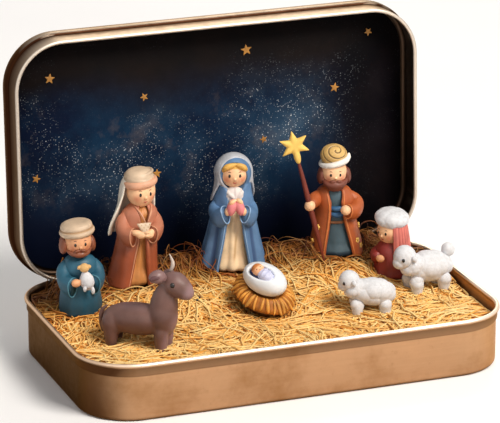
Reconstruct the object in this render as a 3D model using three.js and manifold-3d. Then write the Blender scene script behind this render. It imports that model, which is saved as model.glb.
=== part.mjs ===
// A hinged tin standing open: a tray with a straw bed and loose modelled figures, and a lid lined with a sky.
// Millimetres, +Z up, the front towards -Y. The origin is the middle of the tray's underside.
import * as THREE from 'three';
import { mergeVertices } from 'three/addons/utils/BufferGeometryUtils.js';
import Module from 'manifold-3d';

const wasm = await Module();
wasm.setup();

// Fits
const CLEARANCE = 0.3;
const BORE_CLEARANCE = 0.25;

// Tray: sizes are taken at the crest of the curled rim
const RIM_LENGTH = 150;
const RIM_WIDTH = 88;
const RIM_CORNER = 18.6;
const RIM_HEIGHT = 19.6;
const CURL_RADIUS = 0.8;
const TRAY_CURL = [-75, 240];
const SHEET = 0.5;
const WALL_INSET = 0.35;
const NECK_BAND = 2.6;
const NECK_STEP = 0.45;
const BOTTOM_EDGE = 1.5;

// Lid and hinge
const LID_LEAN = 2.5;
const LID_WALL_INSET = 0.2;
const LID_WALL_DEPTH = 5.1;
const LID_EDGE = 1.8;
const PLUG_DEPTH = 6.3;
const LID_CURL_RADIUS = 0.7;
const LID_CURL = [80, 360];
const LINING = 0.8;
const WIRE_RADIUS = 0.3;
const WIRE_LENGTH = 104;
const KNUCKLE_LENGTH = 13.4;
const KNUCKLE_SPACING = 60;
const LEAF = 0.6;

// A pressed edge is rounded through a middle point, this share of its radius from the outside
const EDGE_ROUND = 0.3;

// Straw bed: a low front that rises to a mound behind, lower at the ends and under the lid's plug
const STRAW_FRONT = 15;
const STRAW_RISE = 9.4;
const RISE_FROM = -14;
const RISE_TO = 30;
const ENDS_FROM = 38;
const ENDS_TO = 66;
const ENDS_DROP = 0.6;
const STRAW_UNDER_LID = 18;
const BACK_SLOPE = 3;
const NEST_DEPTH = 0.8;

// Where each figure stands, and the way it faces: 0 degrees looks to -Y, and the animals walk along +X.
// Those near an end or the back of the tray keep their distance from it.
const SHEPHERD_AT = { x: 15.5 - RIM_LENGTH / 2, y: 16.5, turn: -4 };
const FATHER_AT = { x: -38, y: RIM_WIDTH / 2 - 19, turn: 2 };
const MOTHER_AT = { x: -0.5, y: RIM_WIDTH / 2 - 16.8, turn: -16 };
const KING_AT = { x: 39, y: RIM_WIDTH / 2 - 16, turn: -14 };
const CHILD_AT = { x: RIM_LENGTH / 2 - 21.7, y: 12.4, turn: -65 };
const OX_AT = { x: 26 - RIM_LENGTH / 2, y: -14, turn: -38 };
const SMALL_SHEEP_AT = { x: 35.5, y: -12, turn: 163 };
const LARGE_SHEEP_AT = { x: RIM_LENGTH / 2 - 13.4, y: 0.2, turn: 187 };
const MANGER_AT = { x: 0.4, y: 0, turn: -55 };

// Clothed figures: a robe is [radius, height] points about an axis that leans a little for its height.
// The neck is the top of the outer robe, and the head, the arms and what they wear are placed from it.
const FIGURE_DEPTH = 0.85;
const UPRIGHT = [0, 0];

const SHEPHERD_ROBE = [[7.4, 0], [7.3, 2.5], [6.7, 8], [6.3, 13], [6.3, 16.5], [5.2, 19.4], [2.6, 21]];
const SHEPHERD_HEAD = { at: [-0.9, -0.8, 4.7], size: [4.8, 4.7, 4.9] };
const SHEPHERD_HAIR = { at: [-0.9, 0.7, 4.6], size: [6.2, 5, 4.4] };
const SHEPHERD_BEARD = { at: [-0.9, -3.4, 2.2], size: [4.2, 2.6, 2] };
const SHEPHERD_ROLL = { at: [-0.9, 0, 8.8], size: [6, 5.8, 1.7], tilt: -7 };
const SHEPHERD_CROWN = { at: [-1, 0.2, 9.5], size: [5.1, 5, 2.3], tilt: -7 };
const SHEPHERD_LEFT = {
  line: [[-4.2, 0.5, -2.4], [-6.4, -1.2, -5.4], [-5.9, -4.2, -8.3], [-3.7, -6.4, -8.5]],
  thick: [2.3, 2.7, 2.9, 2.5],
  hem: { at: [-4.9, -4.8, -11], size: [1.7, 1.9, 3.6] },
};
const SHEPHERD_RIGHT = {
  line: [[4, 0.5, -2.4], [5.7, -1.2, -5.4], [5.3, -4.2, -8.1], [3.6, -6.2, -8.3]],
  thick: [2.3, 2.6, 2.8, 2.5],
  hem: { at: [4.5, -4.8, -10.6], size: [1.7, 1.9, 3.2] },
};
const SHEPHERD_HAND = { at: [-2.2, -8, -8.2], size: [1.8, 1.6, 1.5] };
const LAMB = { line: [[1.4, -7.2, -4.2], [2.4, -7.6, -8.4], [3.4, -7, -12.6]], thick: [1.7, 2.6, 2.4, 1.5] };
const LAMB_HEAD = { at: [1.2, -7.8, -3.2], size: [1.9, 1.8, 1.8] };

const FATHER_LEAN = [0.11, -0.02];
const FATHER_ROBE = [[7.2, 0], [6.4, 7], [5.3, 16], [5, 22], [4.5, 25], [2.4, 27.2]];
const FATHER_COAT = [[9.4, 0], [8.3, 7], [7.1, 16], [6.6, 22], [6, 25.6], [3.4, 28.2]];
const FATHER_FRONT = [[4, -1], [1.6, 18], [1.8, 30]];
const FATHER_HEAD = { at: [0, -0.6, 4.2], size: [5, 4.9, 5.5] };
const FATHER_CAP = { at: [0, 0.3, 8.9], size: [5.1, 5.1, 3.6] };
const FATHER_VEIL = [[8.4, -12.5], [7.8, -8], [6.7, 0], [6, 4], [5.5, 9]];
const FATHER_VEIL_DEPTH = 0.92;
const FATHER_VEIL_LEAN = [0.19, 0];
const FATHER_VEIL_FRONT = 0.4;
const FATHER_BAND = { at: [0, 0, 7.9], radius: 4.7, thick: 1.4, tilt: -6 };
const FATHER_BAND_END = 2.6;
const FATHER_LEFT = {
  line: [[-4.4, 0.4, -3], [-7.2, -1.4, -6.6], [-6.6, -5, -9.2], [-4.4, -7, -9]],
  thick: [2.3, 2.6, 2.7, 2.1],
  hem: { at: [-5.8, -5.4, -11.4], size: [1.6, 1.9, 3.2] },
};
const FATHER_RIGHT = {
  line: [[3.6, 0.4, -3], [4.8, -1.6, -6.4], [3.4, -5.2, -8.6], [0.6, -7.4, -8.6]],
  thick: [2.3, 2.5, 2.6, 2.1],
  hem: { at: [2.6, -5.8, -10.8], size: [1.6, 1.9, 2.8] },
};
const FATHER_HANDS = { at: [-2, -8.4, -8.6], size: [2.8, 1.7, 1.7] };

const MOTHER_LEAN = [0.02, 0];
const MOTHER_GOWN = [[7.6, 0], [6.9, 5], [5.6, 13], [4.8, 20], [4.4, 25.6], [2.4, 28.4]];
const MOTHER_MANTLE = [
  [11.8, 0], [10.6, 5], [9, 12], [7.7, 19], [7, 24.5],
  [6.1, 28], [6.1, 30.5], [6.5, 33.5], [6.1, 36.6], [4.4, 39],
];
const MOTHER_FRONT = [[6, -1], [3.4, 17], [2.4, 28.4]];
const MOTHER_HEAD = { at: [0, -1.2, 5.2], size: [4.5, 4.5, 4.6] };
const MOTHER_FACE = { at: [0, -5.8, 5.2], size: [4.6, 4.8, 4.7] };
const MOTHER_VEIL = [[8.2, -4], [7.6, 0], [7.2, 3], [7.4, 6], [6.9, 9.2], [5, 11.7]];
const MOTHER_VEIL_DEPTH = 0.9;
const MOTHER_VEIL_FRONT = -0.6;
const MOTHER_LEFT = {
  line: [[-5, 0, -3.6], [-7.6, -2, -7.4], [-6.2, -6.2, -8], [-3.2, -8.4, -6]],
  thick: [2.2, 2.6, 2.6, 1.9],
  hem: { at: [-5.6, -6.4, -10.8], size: [1.6, 1.9, 3.8] },
};
const MOTHER_RIGHT = {
  line: [[4.6, 0, -3.6], [6.4, -2.2, -7.4], [5.4, -6.2, -8], [3, -8.4, -6]],
  thick: [2.2, 2.5, 2.5, 1.9],
  hem: { at: [5, -6.4, -10.8], size: [1.6, 1.9, 3.8] },
};
const MOTHER_HANDS = [
  { at: [-1.6, -9, -4.8], size: [1.9, 1.7, 2.6] },
  { at: [1.6, -9, -4.8], size: [1.9, 1.7, 2.6] },
  { at: [0, -9, -2.4], size: [2, 1.6, 1.7] },
];

const KING_LEAN = [-0.05, 0];
const KING_TUNIC = [[7.6, 0], [6.6, 5], [5.4, 12], [5, 17], [5.1, 21], [4.2, 23.6]];
const KING_COAT = [[9.7, 0], [9.2, 4], [7.9, 10], [7, 16], [6.9, 20.5], [5.4, 23.6], [2.8, 25.2]];
const KING_FRONT = [[5.6, -1], [2.8, 14.2], [2.2, 27]];
const KING_HEAD = { at: [0, -0.8, 4.4], size: [4.5, 4.4, 4.7] };
const KING_HAIR = { at: [0, 0.4, 3.4], size: [5.7, 5.1, 5] };
const KING_BEARD = { at: [0, -3.8, 1.2], size: [4.1, 2.6, 2.4] };
const KING_BAND = { at: [0, 0, 8.3], radius: 4.5, thick: 1.1, tilt: -13 };
const KING_TURBAN = { at: [0, 0.2, 10.2], size: [4.8, 4.8, 3.8] };
const KING_LEFT = { line: [[-4.6, 0, -3.4], [-7.2, -3, -5.2], [-8.9, -7.6, -5.2]], thick: [2.4, 2.6, 2.1] };
const KING_RIGHT = {
  line: [[4.6, 0, -3.4], [8, -1, -7.4], [6.6, -5, -8.6], [4.4, -6.8, -7.8]],
  thick: [2.4, 2.8, 2.6, 2],
};
const KING_HAND_RIGHT = { at: [3.2, -7.8, -7.4], size: [1.8, 1.8, 1.8] };
const KING_HAND_LEFT = [1.9, 1.9, 1.9];
const STAFF_FOOT = [-5.8, -11.2, -0.1];
const STAFF_RADIUS = 0.8;
const STAFF_GRIP = 0.49;
const STAR_AT = [-16.3, -9, 42.4];
const STAR_RADIUS = 5.2;
const STAR_WAIST = 2.3;
const STAR_THICKNESS = 1.8;
const STAR_POINTS = 6;
const STAR_TURN = 42;

const CHILD_ROBE = [[6.2, 0], [6.3, 3.6], [5.9, 8], [5, 11.2], [3, 13.2]];
const CHILD_DEPTH = 0.95;
const CHILD_HEAD = { at: [0, -0.8, 3.2], size: [4.5, 4.5, 4.6] };
const CHILD_CLOTH = [[6.8, -4.6], [6.4, -1], [5.8, 3], [5.2, 7]];
const CHILD_CLOTH_FRONT = -2;
const CHILD_HAT = { at: [0, 0, 7.8], size: [6.2, 6, 3.6], tilt: 4 };
const CHILD_ARM = { line: [[-4, -1, -3], [-5, -4.8, -5.4], [-1.8, -7, -5.4]], thick: [1.9, 2.1, 1.8] };
const CHILD_HAND = { at: [0.8, -7.4, -5.2], size: [1.8, 1.4, 1.4] };

// Animals: each leg runs below the ground and is cut flat there
const LEG_SUNK = 1.6;
const OX_TRUNK = {
  line: [[-12.4, 0, 10], [-6, 0, 10.2], [4, 0, 10.4], [12.2, 0, 11]],
  thick: [4.8, 5.5, 5.5, 5.6, 5],
};
const OX_NECK = { line: [[6.5, 0, 10], [8.6, 0, 17], [10.4, 0, 24.4]], thick: [5, 4.6, 4.1, 3.4] };
const OX_HEAD = { line: [[8.8, 0, 26], [13, 0, 23.8], [19, 0, 19.6]], thick: [3.6, 4.4, 3.9, 3.1] };
const OX_LEG = [3, 2.7, 2.6, 2.4];
const OX_LEG_TOP = 10;
const OX_STANCE = [8.8, 2.8];
const OX_EAR = { line: [[10.6, -1.2, 25.6], [8.2, -5, 27.6], [6.4, -6.8, 26.8]], thick: [1.6, 2, 1.5] };
const OX_HORN = { line: [[10.9, 2, 27.8], [11.5, 2.4, 30], [10.1, 2.6, 33.4]], thick: [0.9, 0.7, 0.5, 0.4] };
const OX_TAIL = {
  line: [[-11, 0, 14], [-12.8, 0, 12], [-13.2, 0, 8], [-12.4, 0, 4.6]],
  thick: [0.8, 0.8, 0.8, 1],
};

const SHEEP_TRUNK = {
  line: [[-8.2, 0, 7.4], [-3, 0, 8.2], [3, 0, 8.4], [7.4, 0, 8]],
  thick: [4.2, 5.2, 5, 4],
};
const SHEEP_HEAD = [3.5, 3.3, 3.8];
const SHEEP_HEAD_TILT = 20;
const SHEEP_LEG = [2.4, 2, 1.9, 1.8];
const SHEEP_LEG_TOP = 6;
const SHEEP_STANCE = [4.8, 2.3];
const SMALL_SHEEP_HEAD_AT = [7.4, 0, 12.4];
const LARGE_SHEEP_HEAD_AT = [8, 0, 12.6];
const LARGE_SHEEP = 1.12;
const SHEEP_TAIL = { at: [-7.4, 0, 12.6], size: [2, 1.9, 2.1] };

// Manger: a ribbed basket, narrower across, that slopes out from its top to a wide edge and in again to its
// foot. It tips towards its foot end, with an egg-shaped cushion in its top.
const BASKET_EDGE = 11.6;
const BASKET_EDGE_HEIGHT = 3.4;
const BASKET_FOOT = 8;
const BASKET_TOP = 8.2;
const BASKET_HEIGHT = 6.6;
const BASKET_FLOOR = 4.6;
const BASKET_WALL = 1.4;
const BASKET_NARROW = 0.8;
const BASKET_RIBS = 12;
const RIB_DEPTH = 0.6;
const BASKET_PITCH = 19;
const BASKET_ROLL = 12;
const CUSHION = { at: [-0.6, -0.4, 3.4], size: [8.4, 6.6, 5] };
const BABY = { at: [-0.3, -2.5, 6.1], size: [3.4, 2.5, 2.2], tilt: 22 };
const BABY_HEAD = { at: [-3.3, -2.3, 6.8], size: [2.1, 2, 2] };

// How far the blocks reach that cut a figure in two
const FAR = 60;

// Mesh steps
const CORNER_STEPS = 5;
const CURL_STEPS = 5;
const TURN_SIDES = 12;
const OVAL_SIDES = 9;
const OVAL_ROWS = 6;
const LIMB_SIDES = 6;
const LIMB_STEPS = 6;
const ROUND_SIDES = 10;
const RIB_SIDES = 3;
const STRAW_CELLS = [16, 11];

// Colours, with roughness and metalness
const TIN = { color: 0xc79d70, roughness: 0.38, metalness: 0.9 };
const WIRE = { color: 0x9a8f80, roughness: 0.4, metalness: 1 };
const SKY = { color: 0x0b1730, roughness: 0.6, metalness: 0 };
const STRAW = { color: 0xd9a24c, roughness: 0.85, metalness: 0 };
const clay = (color) => ({ color, roughness: 0.6, metalness: 0 });
const SKIN = clay(0xeab588);
const HAIR = clay(0x6b3a26);
const CREAM = clay(0xe6d2ac);
const TEAL = clay(0x2f7289);
const TERRACOTTA = clay(0xb26a4c);
const TAN = clay(0xc98a4e);
const GOWN = clay(0xddbd90);
const BLUE = clay(0x51749f);
const VEIL = clay(0xaeb3bd);
const ROSE = clay(0xd9828a);
const RUST = clay(0xa8532a);
const SLATE = clay(0x35464f);
const GOLD = clay(0xe3b95c);
const STAFF = clay(0x5f2418);
const CRIMSON = clay(0x7c2420);
const PINK = clay(0xc96a62);
const WOOL = clay(0xeae6e2);
const OX = clay(0x6a4a44);
const HORN = clay(0xcfc3b8);
const BASKET = clay(0xc08a45);
const SWADDLE = clay(0xbfc2df);

const part = new THREE.Group();

// Solids

// The closed body of a geometry, with its faces turned outwards.
function solid(geometry) {
  const bare = geometry.clone();
  bare.deleteAttribute('normal');
  bare.deleteAttribute('uv');
  const merged = mergeVertices(bare, 1e-4);
  const at = merged.attributes.position.array;
  const faces = [];
  for (let i = 0; i < merged.index.count; i += 3) {
    const [a, b, c] = merged.index.array.slice(i, i + 3);
    if (a !== b && b !== c && c !== a) faces.push([a, b, c]);
  }
  const corner = (i) => new THREE.Vector3(at[3 * i], at[3 * i + 1], at[3 * i + 2]);
  const volume = faces.reduce((sum, [a, b, c]) => sum + corner(a).dot(corner(b).cross(corner(c))), 0);
  const turned = volume < 0 ? faces.map(([a, b, c]) => [a, c, b]) : faces;
  const mesh = new wasm.Mesh({
    numProp: 3,
    vertProperties: Float32Array.from(at),
    triVerts: Uint32Array.from(turned.flat()),
  });
  return new wasm.Manifold(mesh);
}

// The largest body that a cut leaves, without its offcuts.
function largest(body) {
  return body.decompose().reduce((best, other) => (other.volume() > best.volume() ? other : best));
}

// A shape is a function of how far it is grown, so that a neighbour can be cut by it with a clearance.
const joined = (...shapes) => (grow = 0) => shapes.map((shape) => shape(grow)).reduce((a, b) => a.add(b));

// One shape without another, which gives way as the first one grows.
const without = (shape, cut) => (grow = 0) => shape(grow).subtract(cut(-grow));

// A shape's body, cut clear of its neighbours.
function carved(shape, ...neighbours) {
  return largest(neighbours.reduce((body, neighbour) => body.subtract(neighbour(CLEARANCE)), shape()));
}

function addPiece(group, name, body, finish) {
  const { vertProperties, triVerts } = body.getMesh();
  const geometry = new THREE.BufferGeometry();
  geometry.setAttribute('position', new THREE.BufferAttribute(vertProperties, 3));
  geometry.setIndex(new THREE.BufferAttribute(triVerts, 1));
  geometry.computeVertexNormals();
  const mesh = new THREE.Mesh(geometry, new THREE.MeshStandardMaterial(finish));
  mesh.name = name;
  group.add(mesh);
}

function reshaped(geometry, move) {
  const at = geometry.attributes.position;
  const point = new THREE.Vector3();
  for (let i = 0; i < at.count; i += 1) {
    move(point.fromBufferAttribute(at, i));
    at.setXYZ(i, point.x, point.y, point.z);
  }
  return geometry;
}

const radians = THREE.MathUtils.degToRad;
const smooth = THREE.MathUtils.smoothstep;

// Shapes

// [radius, height] points spun about Z and closed on the axis, narrowed front to back, leaned and ribbed.
const spun = (profile, options = {}) => (grow = 0) => {
  const { depth = FIGURE_DEPTH, at = [0, 0, 0], lean = UPRIGHT, ribs = 0, rib = 0 } = options;
  const low = profile[0][1];
  const high = profile.at(-1)[1];
  const height = (z) => THREE.MathUtils.mapLinear(z, low, high, low - grow, high + grow);
  const points = profile.map(([r, z]) => new THREE.Vector2(r + grow, height(z)));
  const closed = [new THREE.Vector2(0, low - grow), ...points, new THREE.Vector2(0, high + grow)];
  const lathe = new THREE.LatheGeometry(closed, ribs ? RIB_SIDES * ribs : TURN_SIDES).rotateX(Math.PI / 2);
  return solid(reshaped(lathe, (p) => {
    const wave = 1 - (rib / profile[0][0]) * (0.5 - 0.5 * Math.cos(ribs * Math.atan2(p.x, p.y)));
    p.x = p.x * wave + lean[0] * p.z + at[0];
    p.y = p.y * wave * depth + lean[1] * p.z + at[1];
    p.z += at[2];
  }));
};

const oval = ([x, y, z], [rx, ry, rz], tilt = 0) => (grow = 0) => solid(
  new THREE.SphereGeometry(1, OVAL_SIDES, OVAL_ROWS)
    .rotateX(Math.PI / 2)
    .scale(rx + grow, ry + grow, rz + grow)
    .rotateY(radians(tilt))
    .translate(x, y, z),
);

// A round limb of changing thickness along a smooth line, with rounded ends.
const limb = (points, radii) => (grow = 0) => {
  const path = new THREE.CatmullRomCurve3(points.map((p) => new THREE.Vector3(...p)));
  const { tangents, normals, binormals } = path.computeFrenetFrames(LIMB_STEPS);
  const thickness = (t) => {
    const place = t * (radii.length - 1);
    const before = Math.min(Math.floor(place), radii.length - 2);
    return THREE.MathUtils.lerp(radii[before], radii[before + 1], place - before);
  };
  const sphere = new THREE.SphereGeometry(1, LIMB_SIDES, LIMB_STEPS).rotateX(Math.PI / 2);
  return solid(reshaped(sphere, (p) => {
    const row = Math.round((Math.acos(THREE.MathUtils.clamp(p.z, -1, 1)) / Math.PI) * LIMB_STEPS);
    const t = row / LIMB_STEPS;
    const round = row % LIMB_STEPS ? Math.cbrt(Math.sin(Math.PI * t)) : 0;
    const radius = round * (thickness(t) + grow);
    const angle = Math.atan2(p.y, p.x);
    const end = grow * (2 * t - 1);
    p.copy(path.getPoint(t)).addScaledVector(tangents[row], end);
    p.addScaledVector(normals[row], radius * Math.cos(angle));
    p.addScaledVector(binormals[row], radius * Math.sin(angle));
  }));
};

// A ring of round section lying level, or tilted about Y.
const ring = ([x, y, z], radius, thickness, tilt = 0) => (grow = 0) => solid(
  new THREE.TorusGeometry(radius, thickness + grow, LIMB_SIDES, TURN_SIDES)
    .rotateY(radians(tilt))
    .translate(x, y, z),
);

const block = ([x0, y0, z0], [x1, y1, z1]) => (grow = 0) => solid(
  new THREE.BoxGeometry(x1 - x0 + 2 * grow, y1 - y0 + 2 * grow, z1 - z0 + 2 * grow)
    .translate((x0 + x1) / 2, (y0 + y1) / 2, (z0 + z1) / 2),
);

// All of the space in front of a plane across the figure, or behind it.
const ahead = (y) => block([-FAR, -FAR, -FAR], [FAR, y, FAR]);
const behind = (y) => block([-FAR, y, -FAR], [FAR, FAR, FAR]);
const underground = block([-FAR, -FAR, -FAR], [FAR, FAR, 0]);

const rodAlongX = (radius, length, [x, y, z] = [0, 0, 0]) => () => solid(
  new THREE.CylinderGeometry(radius, radius, length, ROUND_SIDES).rotateZ(Math.PI / 2).translate(x, y, z),
);

// A garment's front opening: [half width, height] points mirrored, cut from the front back to the axis.
const opening = (edges, reach, lean = UPRIGHT) => () => {
  const right = edges.map(([half, z]) => new THREE.Vector2(half, z));
  const left = edges.map(([half, z]) => new THREE.Vector2(-half, z)).reverse();
  const outline = new THREE.Shape([...right, ...left]);
  const slab = new THREE.ExtrudeGeometry(outline, { depth: reach, bevelEnabled: false }).rotateX(Math.PI / 2);
  return solid(reshaped(slab, (p) => {
    p.x += lean[0] * p.z;
  }));
};

const topOf = (profile) => profile.at(-1)[1];
const widest = (profile) => 2 * Math.max(...profile.map(([r]) => r));
const neckOf = (robe, lean = UPRIGHT) => [lean[0] * topOf(robe), lean[1] * topOf(robe), topOf(robe)];
const from = (base, point) => point.map((value, i) => value + base[i]);
const ball = ({ at, size, tilt }, base) => oval(from(base, at), size, tilt);
const arm = ({ line, thick }, base) => limb(line.map((point) => from(base, point)), thick);

// A wide sleeve: a limb from shoulder to wrist with a hanging hem below the wrist.
const sleeve = (shape, base) => joined(arm(shape, base), ball(shape.hem, base));

// Pressed sheet

// The crest outline of the tray's rim: corner arcs with their outward directions, counter-clockwise.
function rimOutline() {
  const outline = [];
  const middles = [[1, 1], [-1, 1], [-1, -1], [1, -1]];
  middles.forEach(([sx, sy], quarter) => {
    for (let i = 0; i <= CORNER_STEPS; i += 1) {
      const angle = (quarter + i / CORNER_STEPS) * (Math.PI / 2);
      const out = new THREE.Vector2(Math.cos(angle), Math.sin(angle));
      const x = sx * (RIM_LENGTH / 2 - RIM_CORNER) + RIM_CORNER * out.x;
      const y = sy * (RIM_WIDTH / 2 - RIM_CORNER) + RIM_CORNER * out.y;
      outline.push({ x, y, out });
    }
  });
  return outline;
}

// A profile of [distance outside the rim's crest, height] points carried round the rim, closed at its middle.
function pressed(profile) {
  const outline = rimOutline();
  const points = profile.map(([d, z]) => new THREE.Vector2(RIM_LENGTH + d, z));
  const first = new THREE.Vector2(0, profile[0][1]);
  const last = new THREE.Vector2(0, profile.at(-1)[1]);
  const lathe = new THREE.LatheGeometry([first, ...points, last], outline.length).rotateX(Math.PI / 2);
  return solid(reshaped(lathe, (p) => {
    const reach = Math.hypot(p.x, p.y);
    if (reach < 1) return;
    const turn = Math.atan2(p.y, p.x) / (2 * Math.PI) + 1;
    const { x, y, out } = outline[Math.round(turn * outline.length) % outline.length];
    p.x = x + (reach - RIM_LENGTH) * out.x;
    p.y = y + (reach - RIM_LENGTH) * out.y;
  }));
}

// Points round a curl of sheet, from one angle to another, in degrees.
function curl(d, z, radius, start, end) {
  return Array.from({ length: CURL_STEPS + 1 }, (_, i) => {
    const angle = radians(THREE.MathUtils.lerp(start, end, i / CURL_STEPS));
    return [d + radius * Math.cos(angle), z + radius * Math.sin(angle)];
  });
}

// Tray
const bandTop = RIM_HEIGHT - CURL_RADIUS;
const bandBottom = RIM_HEIGHT - CURL_RADIUS - NECK_BAND;
const wallOutside = -WALL_INSET;
const wallInside = wallOutside - SHEET;
const bandOutside = wallOutside + NECK_STEP;
const bandInside = bandOutside - SHEET;
const insideEdge = BOTTOM_EDGE - SHEET;
const hingeBore = WIRE_RADIUS + BORE_CLEARANCE;
const notch = KNUCKLE_LENGTH + 2 * CLEARANCE;
const knuckles = [-KNUCKLE_SPACING / 2, KNUCKLE_SPACING / 2];
const hingeLine = RIM_WIDTH / 2;

function trayBody() {
  const shell = pressed([
    [wallOutside - BOTTOM_EDGE, 0],
    [wallOutside - EDGE_ROUND * BOTTOM_EDGE, EDGE_ROUND * BOTTOM_EDGE],
    [wallOutside, BOTTOM_EDGE],
    [wallOutside, bandBottom - NECK_STEP],
    [bandOutside, bandBottom],
    ...curl(0, RIM_HEIGHT, CURL_RADIUS, ...TRAY_CURL),
    [bandInside, bandTop - SHEET],
    [bandInside, bandBottom],
    [wallInside, bandBottom - NECK_STEP],
    [wallInside, BOTTOM_EDGE],
    [wallInside - EDGE_ROUND * insideEdge, SHEET + EDGE_ROUND * insideEdge],
    [wallInside - insideEdge, SHEET],
  ]);
  const room = CURL_RADIUS + CLEARANCE;
  const notches = knuckles.map((x) => block(
    [x - notch / 2, hingeLine - room, RIM_HEIGHT - room],
    [x + notch / 2, hingeLine + room, RIM_HEIGHT + room],
  )());
  const bore = rodAlongX(hingeBore, WIRE_LENGTH + 2 * CLEARANCE, [0, hingeLine, RIM_HEIGHT])();
  return largest([...notches, bore].reduce((body, cut) => body.subtract(cut), shell));
}

// Lid, drawn closed with the hinge line as its own origin, then swung open
const plugOutside = -CURL_RADIUS - CLEARANCE;
const plugInside = plugOutside - SHEET;
const plugCurl = plugOutside - LID_CURL_RADIUS;
const shoulder = CURL_RADIUS + CLEARANCE;
const lidOutside = -LID_WALL_INSET;
const lidInside = lidOutside - SHEET;
const lidTop = shoulder + LID_WALL_DEPTH;
const lidEdgeInside = LID_EDGE - SHEET;
const liningTop = lidTop - SHEET - CLEARANCE;

function lidBody() {
  const shell = pressed([
    [lidInside - lidEdgeInside, lidTop - SHEET],
    [lidInside - EDGE_ROUND * lidEdgeInside, lidTop - SHEET - EDGE_ROUND * lidEdgeInside],
    [lidInside, lidTop - LID_EDGE],
    [lidInside, shoulder + SHEET],
    [plugInside, shoulder + SHEET],
    [plugInside, LID_CURL_RADIUS - PLUG_DEPTH],
    ...curl(plugCurl, -PLUG_DEPTH, LID_CURL_RADIUS, ...LID_CURL),
    [plugOutside, shoulder],
    [lidOutside, shoulder],
    [lidOutside, lidTop - LID_EDGE],
    [lidOutside - EDGE_ROUND * LID_EDGE, lidTop - EDGE_ROUND * LID_EDGE],
    [lidOutside - LID_EDGE, lidTop],
  ]);
  const knuckle = (x) => {
    const barrel = rodAlongX(CURL_RADIUS, KNUCKLE_LENGTH, [x, hingeLine, 0])();
    const leaf = block(
      [x - KNUCKLE_LENGTH / 2, hingeLine + plugInside + SHEET / 2, -LEAF / 2],
      [x + KNUCKLE_LENGTH / 2, hingeLine, LEAF / 2],
    )();
    return barrel.add(leaf);
  };
  const withKnuckles = knuckles.reduce((body, x) => body.add(knuckle(x)), shell);
  return largest(withKnuckles.subtract(rodAlongX(hingeBore, WIRE_LENGTH, [0, hingeLine, 0])()));
}

function liningBody() {
  const edge = lidInside - LID_EDGE - CLEARANCE;
  return pressed([[edge, liningTop - LINING], [edge, liningTop]]);
}

// Straw

// The bed's height over a point of the tray.
function strawHeight(x, y) {
  const ends = 1 - ENDS_DROP * smooth(Math.abs(x), ENDS_FROM, ENDS_TO);
  const mound = STRAW_FRONT + STRAW_RISE * smooth(y, RISE_FROM, RISE_TO) * ends;
  const plugFront = hingeLine - Math.hypot(PLUG_DEPTH + LID_CURL_RADIUS, plugCurl) - 2 * CLEARANCE;
  const under = Math.min(mound, STRAW_UNDER_LID);
  return THREE.MathUtils.lerp(mound, under, smooth(y, plugFront - BACK_SLOPE, plugFront));
}

const standing = ({ x, y }) => strawHeight(x, y) - NEST_DEPTH;

// The hollow that a figure presses into the straw, open above it: round under a robe, square under legs.
function nest(at, length, width, sides = TURN_SIDES) {
  const deep = standing(at) - CLEARANCE;
  const round = 1 / Math.cos(Math.PI / sides);
  const column = new THREE.CylinderGeometry(round, round, RIM_HEIGHT, sides, 1, false, Math.PI / sides)
    .rotateX(Math.PI / 2)
    .scale(length / 2 + CLEARANCE, width / 2 + CLEARANCE, 1)
    .rotateZ(radians(at.turn))
    .translate(at.x, at.y, deep + RIM_HEIGHT / 2);
  return solid(column);
}

function strawBody() {
  const side = wallInside - CLEARANCE;
  const floor = SHEET + CLEARANCE;
  const tall = STRAW_FRONT + STRAW_RISE;
  const prism = pressed([[side - BOTTOM_EDGE, floor], [side, floor + BOTTOM_EDGE], [side, tall]]);
  const [across, along] = STRAW_CELLS;
  const field = new THREE.BoxGeometry(RIM_LENGTH, RIM_WIDTH, tall, across, along, 1);
  const domed = solid(reshaped(field, (p) => {
    p.z = p.z > 0 ? strawHeight(p.x, p.y) : 0;
  }));
  const robes = [
    [SHEPHERD_AT, SHEPHERD_ROBE],
    [FATHER_AT, FATHER_COAT],
    [MOTHER_AT, MOTHER_MANTLE],
    [KING_AT, KING_COAT],
    [CHILD_AT, CHILD_ROBE],
  ].map(([at, robe]) => nest(at, widest(robe), widest(robe)));
  const stand = (at, [length, width], leg, size = 1) => {
    const foot = Math.max(...leg);
    return nest(at, 2 * size * (length + foot), 2 * size * (width + foot), 4);
  };
  const animals = [
    stand(OX_AT, OX_STANCE, OX_LEG),
    stand(SMALL_SHEEP_AT, SHEEP_STANCE, SHEEP_LEG),
    stand(LARGE_SHEEP_AT, SHEEP_STANCE, SHEEP_LEG, LARGE_SHEEP),
    nest(MANGER_AT, 2 * BASKET_EDGE, 2 * BASKET_EDGE),
  ];
  const bed = prism.intersect(domed);
  return largest([...robes, ...animals].reduce((left, hollow) => left.subtract(hollow), bed));
}

function figureGroup(at) {
  const group = new THREE.Group();
  group.position.set(at.x, at.y, standing(at));
  group.rotation.z = radians(at.turn);
  part.add(group);
  return group;
}

function makeTin() {
  const tray = new THREE.Group();
  addPiece(tray, 'tin_tray', trayBody(), TIN);
  const wire = rodAlongX(WIRE_RADIUS, WIRE_LENGTH, [0, hingeLine, RIM_HEIGHT])();
  addPiece(tray, 'hinge_wire', wire, WIRE);
  addPiece(tray, 'straw_bed', strawBody(), STRAW);
  part.add(tray);

  const hinge = new THREE.Group();
  hinge.position.set(0, hingeLine, RIM_HEIGHT);
  hinge.rotation.x = -radians(90 + LID_LEAN);
  const lid = new THREE.Group();
  lid.position.y = -hingeLine;
  addPiece(lid, 'tin_lid', lidBody(), TIN);
  addPiece(lid, 'sky_lining', liningBody(), SKY);
  hinge.add(lid);
  part.add(hinge);
}

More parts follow.
